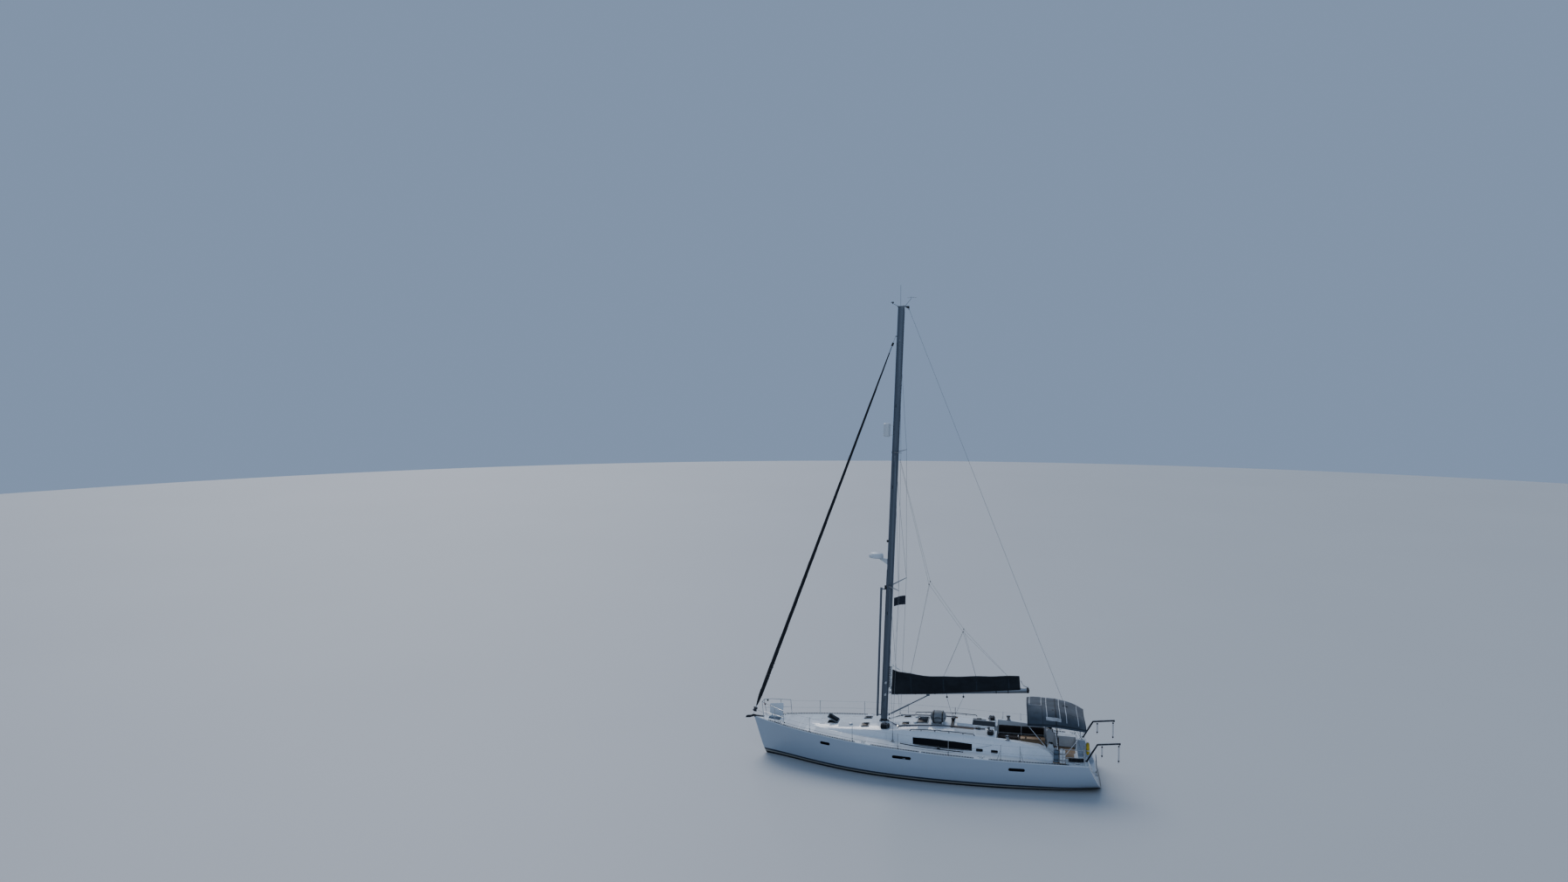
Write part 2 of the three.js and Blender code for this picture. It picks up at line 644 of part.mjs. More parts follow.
const gooseHeight = goosePin.clone().sub(mastFoot).dot(mastWay);
const gooseAhead = goosePin.clone().sub(mastFoot).dot(mastFore);
const vangHeight = 290;
const pinRadius = 9;
function mast() {
  const section = prism(ovalOutline(mastHalfChord, mastHalfWidth), "above", -60, mastLength);
  const heel = box(-190, 190, -120, 120, -60, 24);
  const forks = [gooseHeight, vangHeight].map((height) => {
    const plate = (from) => box(gooseAhead - 14, -100, -24, 24, height + from, height + from + 12);
    const onPin = (up) => point(gooseAhead, 0, height + up);
    return join(plate(-46), plate(34), rod(onPin(-46), onPin(46), pinRadius, 12));
  });
  add("mast", cutInPlace(join(section, heel, forks), mastGroup, aboveRoof), alloy, mastGroup);
}

const spreaderTable = [
  { name: "spreaders_lower", rootZ: 7790, tip: point(860, 1450, 7900) },
  { name: "spreaders_upper", rootZ: 13600, tip: point(830, 1060, 13650) },
];
const wireRadius = 6;
function spreaders() {
  for (const { name, rootZ, tip } of spreaderTable) {
    const height = heightOf(rootZ);
    const collar = cut(
      prism(ovalOutline(mastHalfChord + 14, mastHalfWidth + 14), "above", height - 45, height + 45),
      prism(ovalOutline(mastHalfChord + seat, mastHalfWidth + seat), "above", height - 60, height + 60),
    );
    const arms = sides.map(([, side]) => {
      const inner = point(0, side * (mastHalfWidth + 6), height);
      const end = tip.clone().sub(onMast(height, 0, 0));
      const outer = point(end.dot(mastFore), side * (tip.y - wireRadius - 2.4), height + end.dot(mastWay));
      const ring = (at, halfChord, halfThick) =>
        ovalOutline(halfChord, halfThick, 8).map(([a, b]) => point(at.x + a, at.y, at.z + b));
      return loft([ring(inner, 70, 20), ring(outer, 32, 8)]);
    });
    add(name, join(collar, arms), alloy, mastGroup);
  }
}

const chainplate = point(1100, 1440, 0);
function shrouds() {
  for (const [side, sign] of sides) {
    const onSide = (p) => point(p.x, p.y * sign, p.z);
    const footZ = deckZ(chainplate.x, chainplate.y) - 30;
    const foot = onSide(point(chainplate.x, chainplate.y, footZ + 90));
    const lowFoot = onSide(point(chainplate.x, chainplate.y - 50, footZ + 90));
    const tips = spreaderTable.map(({ tip }) => onSide(tip));
    const tang = (z) => onMast(heightOf(z), 0, sign * (mastHalfWidth + seat + 12));
    const [capTop, midTop, lowTop] = [18400, 13430, 7640].map(tang);
    const wires = [
      [foot, tips[0]],
      [tips[0], tips[1]],
      [tips[1], capTop],
      [tips[0], midTop],
      [lowFoot, lowTop],
    ].map(([from, to]) => rod(from, to, wireRadius, 6));
    const ends = [capTop, midTop, lowTop].map((at) =>
      box(at.x - 16, at.x + 16, at.y - 12, at.y + 12, at.z - 40, at.z + 20),
    );
    const screws = [
      [foot, tips[0]],
      [lowFoot, lowTop],
    ].map(([from, to]) => rod(from, from.clone().lerp(to, 300 / from.distanceTo(to)), 14));
    const plateY = [lowFoot.y - sign * 16, foot.y + sign * 16].sort((a, b) => a - b);
    const plate = box(foot.x - 45, foot.x + 45, ...plateY, footZ, footZ + 100);
    const joints = tips.map((at) => ball(at, wireRadius * 1.04));
    add(`shrouds_${side}`, cut(join(wires, ends, screws, plate, joints), underDeck), wireSteel);
  }
}

// Masthead fitting with the crane for the backstay, wind vane, wind sensor arm and aerial.
const craneTip = point(640, 0, 19735);
const backstaySplit = point(-6190, 0, 2480);
const backstayFeet = [point(-6740, 1150, 0), point(-6740, -1150, 0)];
function standingRig() {
  const top = onMast(mastLength + seat, 0, 0);
  const cap = box(top.x - 170, top.x + 160, -60, 60, top.z + 12, top.z + 42);
  const crane = prism(
    [
      [craneTip.x - 20, top.z - 60],
      [craneTip.x + 40, top.z - 60],
      [top.x - 160, top.z + 12],
      [top.x - 100, top.z + 12],
      [top.x - 100, top.z + 42],
      [craneTip.x - 20, top.z + 42],
    ],
    "side",
    -16,
    16,
  );
  const vane = join(
    rod(point(top.x - 150, 0, top.z + 30), point(540, 0, 20150), 6),
    rod(point(540, 0, 20145), point(540, 0, 20240), 4),
    rod(point(320, 0, 20190), point(700, 0, 20190), 5, 6),
  );
  const sensor = join(
    rod(point(top.x + 120, 0, top.z + 30), point(1330, 0, 19960), 7),
    rod(point(1330, 0, 19930), point(1330, 0, 20010), 14),
    turned([[0, 0], [0, 55], [10, 60], [20, 0]], point(1330, 0, 20010), upward, 10),
  );
  const aerial = rod(point(top.x + 20, 40, top.z + 30), point(top.x + 20, 40, 20720), 5, 6);
  add("masthead", join(cap, crane, vane, sensor, aerial), blackPlastic);
  const upper = point(craneTip.x, 0, top.z - 60 - seat);
  const feet = backstayFeet.map((foot) => point(foot.x, foot.y, deckZ(foot.x, foot.y) - 10));
  const legs = feet.map((foot) => rod(foot, backstaySplit, wireRadius, 6));
  const screws = feet.map((foot) => rod(foot, foot.clone().lerp(backstaySplit, 0.16), 14));
  const wire = rod(backstaySplit, upper.clone().add(point(0, 0, -10)), wireRadius, 6);
  const eye = box(upper.x - 18, upper.x + 18, -10, 10, upper.z - 60, upper.z);
  const plates = feet.map(({ x, y, z }) => box(x - 40, x + 40, y - 30, y + 30, z, z + 26));
  const split = backstaySplit;
  const splitPlate = box(split.x - 17, split.x + 19, -27, 27, split.z - 31, split.z + 33);
  add("backstay", cut(join(wire, legs, screws, eye, plates, splitPlate), underDeck), wireSteel);
}

// The furled foresail turns about the forestay on its drum and swivel.
const stayFoot = point(7560, 0, 1700);
const stayTop = point(1196, 0, 18560);
const stayWay = stayTop.clone().sub(stayFoot).normalize();
const onStay = (distance) => stayFoot.clone().addScaledVector(stayWay, distance);
function foresail() {
  const lug = onMast(heightOf(18560), mastHalfChord, 0);
  const tang = box(lug.x + seat + 3, stayTop.x + 14, -10, 10, stayTop.z - 34, stayTop.z + 26);
  const stay = rod(onStay(-60), stayTop, wireRadius, 8);
  add("forestay", join(stay, tang), wireSteel);
  const bore = wireRadius + runningGap;
  const profile = [
    [180, bore],
    [180, 95],
    [200, 100],
    [205, 60],
    [310, 60],
    [315, 100],
    [330, 95],
    [340, 26],
    [430, 30],
    [900, 92],
    [4000, 88],
    [9500, 70],
    [15100, 46],
    [17300, 24],
    [17560, 20],
    [17570, 46],
    [17730, 46],
    [17740, bore],
    [180, bore],
  ];
  add("genoa_furled", turned(profile, stayFoot, stayWay, 14), darkCanvas);
}

// Boom, with the zipped sail bag lying along it and the rod kicker beneath it.
const boomWay = boomEnd.clone().sub(goosePin).normalize();
const boomUp = point(boomWay.z, 0, -boomWay.x);
const onBoom = (distance, side, up) =>
  goosePin.clone().addScaledVector(boomWay, distance).addScaledVector(boomUp, up).add(point(0, side, 0));
const boomLength = boomEnd.distanceTo(goosePin);
const bagRows = table(
  ["distance", "foot", "top", "half"],
  [
    [64, -60, 1040, 60],
    [640, -60, 880, 150],
    [1860, -60, 690, 170],
    [3600, -20, 655, 160],
    [5560, 50, 640, 130],
  ],
);
function pinEye(at) {
  const bore = pinRadius + runningGap;
  return turned([[-33, bore], [-33, 26], [33, 26], [33, bore], [-33, bore]], at, mastWay, 12);
}

function boom() {
  const boomOval = (grow) => ovalOutline(boomHalfHeight + grow, boomHalfWidth + grow, 12);
  const ring = (distance, grow) => boomOval(grow).map(([up, side]) => onBoom(distance, side, up));
  const tube = loft([ring(70, 0), ring(boomLength, 0)]);
  const neckRing = (distance) => ovalOutline(24, 14, 8).map(([up, side]) => onBoom(distance, side, up));
  const neckBody = loft([12, 80].map(neckRing));
  const pinRoom = (at) => {
    const reach = mastWay.clone().multiplyScalar(80);
    return rod(at.clone().sub(reach), at.clone().add(reach), 20, 12);
  };
  const neck = cut(neckBody, pinRoom(goosePin));
  const bails = [2450, 3150].map((distance) => {
    const legs = [-1, 1].map((side) => rod(onBoom(distance, side * 30, -100), onBoom(distance, 0, -175), 7));
    return join(legs, ball(onBoom(distance, 0, -178), 20));
  });
  add("boom", join(tube, pinEye(goosePin), neck, bails), alloy);
  const bagOutline = [
    [0, 0.6],
    [0.12, 0.92],
    [0.35, 1],
    [0.62, 0.72],
    [0.86, 0.36],
    [1, 0.16],
  ];
  const bagRing = ({ distance, foot, top, half }, i) => {
    const lean = i === 0 ? 0.12 : 0;
    const at = (side) =>
      bagOutline.map(([share, width]) => {
        const up = foot + share * (top - foot);
        return onBoom(distance + lean * up, side * width * half, up);
      });
    return [...at(1), ...at(-1).reverse()];
  };
  const boomRoom = loft([ring(20, seat), ring(boomLength + 50, seat)]);
  add("sail_bag", cut(loft(bagRows.map(bagRing)), boomRoom), darkCanvas);
  const vangFoot = onMast(vangHeight, gooseAhead, 0);
  const vangTop = onBoom(1640, 0, -boomHalfHeight - 46);
  const out = vangTop.clone().sub(vangFoot).normalize();
  const onVang = (distance) => vangFoot.clone().addScaledVector(out, distance);
  const vangNeck = cut(rod(onVang(8), onVang(110), 12, 8), pinRoom(vangFoot));
  const tubes = join(rod(onVang(90), onVang(950), 36, 12), rod(onVang(900), vangTop, 26, 12));
  const lugTop = 20 - boomHalfHeight;
  const lugOutline = [
    [lugTop - 92, 14],
    [lugTop, 14],
    [lugTop, -14],
    [lugTop - 92, -14],
  ];
  const lugRing = (distance) => lugOutline.map(([up, side]) => onBoom(distance, side, up));
  const lug = loft([1570, 1710].map(lugRing));
  add("vang", cut(join(pinEye(vangFoot), vangNeck, tubes, lug), boomRoom), alloy);
}

function mastGear() {
  const radarHeight = heightOf(8990);
  const domeProfile = [
    [0, 0],
    [0, 290],
    [30, 318],
    [120, 318],
    [200, 260],
    [235, 140],
    [245, 0],
  ];
  const dome = turned(domeProfile, point(640, 0, radarHeight), upward, 24);
  const gusset = [
    [mastHalfChord - 9, radarHeight - 260],
    [mastHalfChord + 20, radarHeight - 260],
    [520, radarHeight - 38],
    [mastHalfChord - 9, radarHeight - 38],
  ];
  const shelf = box(mastHalfChord - 9, 560, -60, 60, radarHeight - 40, radarHeight - 5);
  const arm = join(shelf, prism(gusset, "side", -12, 12));
  const grownMast = prism(ovalOutline(mastHalfChord + seat, mastHalfWidth + seat), "above", 0, mastLength);
  const seatPad = box(480, 700, -90, 90, radarHeight - 40, radarHeight + 4);
  add("radar", cut(join(dome, arm, seatPad), grownMast), whitePlastic, mastGroup);
  const reflectorHeight = heightOf(14260);
  const canProfile = [
    [0, 0],
    [0, 120],
    [30, 145],
    [540, 145],
    [570, 120],
    [570, 0],
  ];
  const can = turned(canProfile, point(400, 0, reflectorHeight), upward, 20);
  const brackets = [60, 480]
    .map((up) => reflectorHeight + up)
    .map((z) => box(mastHalfChord - 10, 300, -30, 30, z, z + 30));
  add("radar_reflector", cut(join(can, brackets), grownMast), whitePlastic, mastGroup);
  const poleFrom = heightOf(2020);
  const poleTo = heightOf(7700);
  const pole = rod(point(300, 0, poleFrom), point(360, 0, poleTo), 46, 12);
  const chocks = [
    [poleFrom + 60, 300],
    [poleTo - 60, 358],
  ].map(([height, ahead]) => box(mastHalfChord - 10, ahead, -22, 22, height - 20, height + 20));
  add("whisker_pole", cut(join(pole, chocks), grownMast), alloy, mastGroup);
}

// Deck gear
function bowGear() {
  const cheek = [
    [7060, 1655],
    [7480, 1672],
    [7880, 1620],
    [7905, 1540],
    [7700, 1560],
    [7480, 1640],
    [7060, 1600],
  ];
  const cheeks = [-1, 1].map((side) => sidePrism(cheek, side, 46, 54));
  const trayOutline = [
    [7060, 1560],
    [7500, 1600],
    [7500, sheerZ(7500) + 24],
    [7060, deckZ(7060, 0) + 30],
  ];
  const tray = prism(trayOutline, "side", -54, 54);
  const axle = rod(point(7830, -54, 1580), point(7830, 54, 1580), 34, 12);
  const stayLug = box(7460, 7610, -12, 12, 1640, 1700);
  const stayRoom = rod(onStay(-80), onStay(60), wireRadius + seat, 8);
  add("bow_roller", cut(join(tray, cheeks, axle, stayLug), cut(underDeck, lockerRoom), stayRoom), steel);
  const floorZ = deckZ(6500, 0) - lockerDepth + seat;
  const gypsy = [
    [0, 0],
    [0, 70],
    [40, 78],
    [70, 50],
    [100, 74],
    [130, 70],
    [130, 0],
  ];
  const motor = box(6320, 6520, -90, 90, floorZ, floorZ + 110);
  add("windlass", join(motor, turned(gypsy, point(6420, 0, floorZ + 105), upward, 16)), blackPlastic);
}

// The locker lid is stored upright on its starboard edge.
function anchorLockerLid() {
  const outline = [
    [0, 0],
    [610, 0],
    [610, 480],
    [590, 500],
    [20, 590],
    [0, 570],
  ];
  const panel = prism(outline, "side", -13, 13);
  const knuckles = lockerKnuckles.map(([from, to]) =>
    rod(point(from, 0, 0), point(to, 0, 0), lockerKnuckleRadius, 16),
  );
  add("anchor_locker_lid", join(panel, knuckles), gelcoat, lockerLid);
}

const railRadius = 12.5;
const railHeight = 620;
const railInset = 65;
const onRail = (x, side, up) => {
  const y = halfBeam(x) - railInset;
  return point(x, side * y, deckZ(x, y) + seat + up);
};
const pushpitFrontX = -5850;
const pushpitAftX = -6700;
const lifelineHeights = [290, 600];
function rails() {
  const bowRail = (x, side, up) => {
    const y = halfBeam(x) - 30;
    return point(x, side * (y + up * 0.06), deckZ(x, y) + up);
  };
  const half = (side) => [
    bowRail(5950, side, -20),
    bowRail(6010, side, 640),
    bowRail(6800, side, 720),
    point(7100, 190 * side, 2350),
  ];
  const legs = sides.flatMap(([, side]) => [
    rod(bowRail(7000, side, -20), half(side)[3], railRadius),
    rod(bowRail(6420, side, -20), bowRail(6420, side, 678), railRadius),
    rod(bowRail(5980, side, 330), bowRail(7030, side, 340), 10),
  ]);
  const bowLoop = bentTube([...half(1), ...half(-1).reverse()], railRadius);
  add("pulpit", cut(join(bowLoop, legs), underDeck), steel);
  const posts = [4730, 2770, 810, -1290, -3400, -4170];
  for (const [side, sign] of sides) {
    const uprights = posts.map((x) => rod(onRail(x, sign, -20), onRail(x, sign, railHeight), railRadius));
    const braces = [
      [-3250, -3400],
      [-4320, -4170],
    ].map(([low, high]) => rod(onRail(low, sign, -20), onRail(high, sign, 430), 9));
    const wires = lifelineHeights.flatMap((up) => {
      const fore = bowRail(5950 + (60 * up) / 660, sign, up).add(point(-railRadius - 3, 0, 0));
      const aft = onRail(pushpitFrontX, sign, up).add(point(railRadius + 0.7, 0, 0));
      const spots = [fore, ...posts.map((x) => onRail(x, sign, up)), aft];
      return spots.slice(1).map((spot, i) => rod(spots[i], spot, 4, 6));
    });
    add(`lifelines_${side}`, cut(join(uprights, braces, wires), underDeck), steel);
    const corner = onRail(pushpitAftX, sign, railHeight);
    const inner = point(pushpitAftX, sign * (transomDoorHalfWidth + 260), corner.z);
    const down = (p, z) => point(p.x, p.y, z);
    const front = (up) => onRail(pushpitFrontX, sign, up);
    const topRail = [front(-20), front(railHeight), corner, inner, down(inner, 1180)];
    const middleZ = corner.z - railHeight + 300;
    const middleRail = [front(300), down(corner, middleZ), down(inner, middleZ)];
    const post = rod(onRail(pushpitAftX, sign, -20), corner, railRadius);
    const body = join(bentTube(topRail, railRadius), bentTube(middleRail, 10), post);
    add(`pushpit_${side}`, cut(body, underDeck), steel);
  }
}

// A winch drum, as shares of its height and radius.
const winchProfile = [
  [0, 0],
  [0, 1],
  [0.25, 1],
  [0.35, 0.72],
  [0.75, 0.68],
  [0.9, 0.9],
  [1, 0.8],
  [1, 0],
];
function winch(radius, height) {
  const profile = winchProfile.map(([up, out]) => [up * height, out * radius]);
  return turned(profile, point(0, 0, 0), upward, 18);
}

const winchX = -3650;
const helmY = 950;
const helmHub = point(-5700, 0, 1500);
function cockpitGear() {
  for (const [side, sign] of sides) {
    const stand = new THREE.Group();
    stand.position.set(winchX, sign * 1300, 1815);
    root.add(stand);
    add(`winch_${side}`, cutInPlace(winch(95, 200), stand, coamingTop), steel, stand);
    const pedestal = [
      [-5300, cockpitSoleZ + seat],
      [-5520, cockpitSoleZ + seat],
      [-5560, 1480],
      [-5480, 1680],
      [-5330, 1720],
      [-5250, 1560],
    ];
    const console = prism(pedestal, "side", -170, 170);
    const hubStub = rod(point(-5540, 0, helmHub.z), point(helmHub.x + 20, 0, helmHub.z), 30, 12);
    const compassProfile = [
      [0, 0],
      [0, 90],
      [40, 85],
      [85, 45],
      [95, 0],
    ];
    const compass = turned(compassProfile, point(-5400, 0, 1690), point(-0.2, 0, 1), 16);
    const helm = add(`helm_console_${side}`, join(console, hubStub, compass), gelcoat);
    helm.position.y = sign * helmY;
    const wheel = new THREE.Group();
    wheel.position.set(helmHub.x, sign * helmY, helmHub.z);
    root.add(wheel);
    const rim = toSolid(new THREE.TorusGeometry(450, 15, 6, 24).rotateY(Math.PI / 2));
    const spokes = range(0, 300, 5).map((turn) => {
      const angle = THREE.MathUtils.degToRad(turn);
      return rod(point(0, 0, 0), point(0, 450 * Math.sin(angle), 450 * Math.cos(angle)), 8, 6);
    });
    const hub = rod(point(20 - seat, 0, 0), point(-40, 0, 0), 48, 14);
    add(`helm_wheel_${side}`, join(rim, spokes, hub), steel, wheel);
  }
  const leg = box(-5150, -4320, -110, 110, cockpitSoleZ + seat, 1470);
  const top = box(-5190, -4170, -160, 160, 1469, 1510);
  const leaves = [
    [150, 178],
    [-178, -150],
  ].map(([fromY, toY]) => box(-5180, -4180, fromY, toY, 1130, 1500));
  add("cockpit_table", join(leg, top, leaves), teak);
  const raftEnds = [-390, -1060];
  const raft = loft(
    range(...raftEnds, 4).map((x) => {
      const size = raftEnds.includes(x) ? 0.86 : 1;
      return ovalOutline(330 * size, 235 * size).map(([y, z]) => point(x, 250 + y, 2270 + z));
    }),
  );
  const chocks = [-960, -500].map((x) => box(x, x + 60, -60, 560, 1900, 2110));
  add("life_raft", cut(join(raft, chocks), aboveRoof), greyCanvas);
  const track = loft(
    range(-700, 700, 6).map((y) => {
      const z = roofZ(-1340, y);
      return [
        point(-1400, y, z - 40),
        point(-1280, y, z - 40),
        point(-1280, y, z + 46),
        point(-1400, y, z + 46),
      ];
    }),
  );
  const sheave = rod(point(-1340, -40, 2095), point(-1340, 40, 2095), 45, 14);
  const block = join(sheave, box(-1375, -1305, -45, 45, 2030, 2095));
  add("mainsheet_track", cut(join(track, block), aboveRoof), blackPlastic);
}

// Bimini: three hoops from one foot a side, a crowned canopy over them with a slot for the backstay.
const canopyRows = table(
  ["x", "edgeZ", "crownZ", "halfWidth"],
  [
    [-4400, 2520, 3075, 1400],
    [-4900, 2540, 3130, 1440],
    [-5600, 2530, 3070, 1450],
    [-6250, 2470, 2955, 1440],
    [-6750, 2400, 2660, 1380],
  ],
);
const canopyZ = (x, share) => {
  const [edgeZ, crownZ] = ["edgeZ", "crownZ"].map((column) => along(canopyRows, column, x));
  return edgeZ + (crownZ - edgeZ) * (1 - Math.abs(share) ** 5);
};
const canopyThickness = 20;
const canopySweep = 50; // the corners of each hem lie this far behind its middle
const biminiFoot = point(-5720, 1790, 0);
function canopyLayer(top, bottom) {
  const shares = range(-1, 1, 16);
  return loft(
    range(canopyRows[0].x, canopyRows.at(-1).x, 9).map((x) => {
      const half = along(canopyRows, "halfWidth", x);
      const spot = (share) => point(x - canopySweep * share * share, share * half, canopyZ(x, share));
      const at = (height) => shares.map((share) => spot(share).add(point(0, 0, height)));
      return [...at(top), ...at(bottom).reverse()];
    }),
  );
}

function bimini() {
  const backstaySlot = box(-6085, -5885, -35, 35, 2600, 3300);
  add("bimini_canopy", cut(canopyLayer(0, -canopyThickness), backstaySlot), greyCanvas);
  const footZ = deckZ(biminiFoot.x, biminiFoot.y);
  const foot = (side, up) => point(biminiFoot.x, side * biminiFoot.y, footZ + up);
  const tubeRadius = 12;
  const hoops = [-4500, -5560, -6690].map((x) => {
    const half = along(canopyRows, "halfWidth", x) * 0.985;
    const underZ = (share) => canopyZ(x, share) - canopyThickness - tubeRadius;
    const over = range(-1, 1, 16).map((share) => point(x, share * half, underZ(share)));
    return bentTube([foot(-1, -20), ...over, foot(1, -20)], tubeRadius);
  });
  const pads = [-1, 1].map((side) => {
    const at = foot(side, 0);
    return box(at.x - 50, at.x + 50, at.y - 30, at.y + 30, footZ - 20, footZ + 30);
  });
  add("bimini_frame", cut(join(hoops, pads), canopyLayer(60, -canopyThickness - seat), underDeck), steel);
}

const davitTip = point(-8080, 1450, 2050);
const ladderPin = point(-7290, 480, platformZ + 30);
const ladderPinRadius = 12;
function sternGear() {
  for (const [side, sign] of sides) {
    const y = sign * davitTip.y;
    const deckLevel = deckZ(-6800, y);
    const spine = [point(-6800, y, deckLevel - 20), point(-7220, y, 1950), point(davitTip.x, y, davitTip.z)];
    const arm = bentTube(spine, 32, 10);
    const base = box(-6850, -6750, y - 45, y + 45, deckLevel - 20, deckLevel + 14);
    const tip = rod(point(davitTip.x, y - 30, 2040), point(davitTip.x, y + 30, 2040), 40, 12);
    add(`davit_${side}`, cut(join(arm, base, tip), underDeck), blackPlastic);
  }
  const ladder = new THREE.Group();
  ladder.position.copy(ladderPin);
  root.add(ladder);
  const lean = 0.077;
  const stiles = [-150, 150].map((y) => rod(point(0, y, 0), point(780 * lean, y, 780), 13));
  const treads = [140, 360, 580, 770].map((z) => rod(point(z * lean, -150, z), point(z * lean, 150, z), 13));
  const pin = rod(point(0, -208, 0), point(0, 208, 0), ladderPinRadius, 16);
  add("swim_ladder", join(stiles, treads, pin), steel, ladder);
  const hingeY = (y) => ladderPin.y + y;
  const lugs = [-200, 200].map((y) =>
    box(-7312, -7200, hingeY(y - 10), hingeY(y + 10), platformZ + seat, platformZ + 52),
  );
  const bar = box(-7262, -7200, hingeY(-210), hingeY(210), platformZ + seat, platformZ + 8);
  const onPin = (y) => point(ladderPin.x, hingeY(y), ladderPin.z);
  const pinRoom = rod(onPin(-280), onPin(280), ladderPinRadius + runningGap, 24);
  add("ladder_hinge", cut(join(lugs, bar), pinRoom), steel);
}

hull();
deck();
coachroof();
hatchLids();
companionway();
cockpitTub();
ballastKeel();
rudder();
drive();
mast();
spreaders();
shrouds();
standingRig();
foresail();
boom();
mastGear();
bowGear();
anchorLockerLid();
rails();
cockpitGear();
bimini();
sternGear();

export default root;
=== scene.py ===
from math import atan2, copysign, cos, exp, pi, radians, sin, sqrt

import bmesh
import bpy
from mathutils import Matrix, Vector, noise
from mathutils.bvhtree import BVHTree


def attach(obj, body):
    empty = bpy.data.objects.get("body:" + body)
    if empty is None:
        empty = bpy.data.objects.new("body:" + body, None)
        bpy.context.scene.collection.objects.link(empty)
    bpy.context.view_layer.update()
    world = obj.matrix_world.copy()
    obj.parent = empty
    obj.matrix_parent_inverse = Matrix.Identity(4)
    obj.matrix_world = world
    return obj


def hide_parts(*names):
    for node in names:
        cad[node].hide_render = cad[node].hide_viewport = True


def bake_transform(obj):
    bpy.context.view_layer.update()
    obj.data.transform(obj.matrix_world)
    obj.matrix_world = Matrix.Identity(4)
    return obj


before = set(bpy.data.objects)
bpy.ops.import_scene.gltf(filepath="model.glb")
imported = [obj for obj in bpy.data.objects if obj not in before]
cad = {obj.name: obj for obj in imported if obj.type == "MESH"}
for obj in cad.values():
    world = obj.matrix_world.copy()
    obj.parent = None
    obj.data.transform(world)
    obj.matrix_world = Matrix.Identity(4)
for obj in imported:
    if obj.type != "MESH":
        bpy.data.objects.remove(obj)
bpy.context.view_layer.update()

sides = (("port", 1), ("starboard", -1))
print("frame loaded with", len(cad), "nodes")


def atOnce(make):  # runs a maker as soon as it is written
    make()


def bothSides(make):  # runs a maker for the port side and for the starboard side
    for side, sign in sides:
        make(side, sign)


# The camera stands off the port side, high enough to look down on the deck
view = {
    "place": (-4.254, 44.684, 16.965),
    "forward": (0.22529, -0.9722, -0.06379),
    "rollDegrees": -0.1906,
    "lens": 24,
    "sensor": 36,
}


@atOnce
def setCamera():
    data = bpy.data.cameras.new("camera")
    data.lens, data.sensor_width, data.sensor_fit = view["lens"], view["sensor"], "HORIZONTAL"
    data.clip_end = 2000
    camera = bpy.data.objects.new("camera", data)
    bpy.context.scene.collection.objects.link(camera)
    aim = Vector(view["forward"]).to_track_quat("-Z", "Y").to_matrix().to_4x4()
    roll = Matrix.Rotation(radians(view["rollDegrees"]), 4, "Z")
    camera.matrix_world = Matrix.Translation(view["place"]) @ aim @ roll
    bpy.context.scene.camera = camera


print("camera set")


def shade(colour, factor, plus=0):
    return tuple(min(1, c * factor + plus) for c in colour)


def circle(count):  # even angles round a full turn
    return [2 * pi * k / count for k in range(count)]


def wave(x, y, z):  # smooth noise, for creases
    return noise.noise(Vector((x, y, z)))


def raised(height):
    return Vector((0, 0, height))


class Wire:  # one output of a node, on which sums can be written
    def __init__(self, finish, socket):
        self.finish, self.socket = finish, socket

    def __add__(self, other):
        return self.finish.maths("ADD", self, other)

    def __sub__(self, other):
        return self.finish.maths("SUBTRACT", self, other)

    def __rsub__(self, other):
        return self.finish.maths("SUBTRACT", other, self)

    def __mul__(self, other):
        return self.finish.maths("MULTIPLY", self, other)

    def __gt__(self, other):
        return self.finish.maths("GREATER_THAN", self, other)

    def __lt__(self, other):
        return self.finish.maths("LESS_THAN", self, other)

    def fraction(self):
        return self.finish.maths("FRACT", self, 0)

    def size(self):
        return self.finish.maths("ABSOLUTE", self, 0)

    def wave(self):
        return self.finish.maths("SINE", self, 0)

    __radd__, __rmul__ = __add__, __mul__


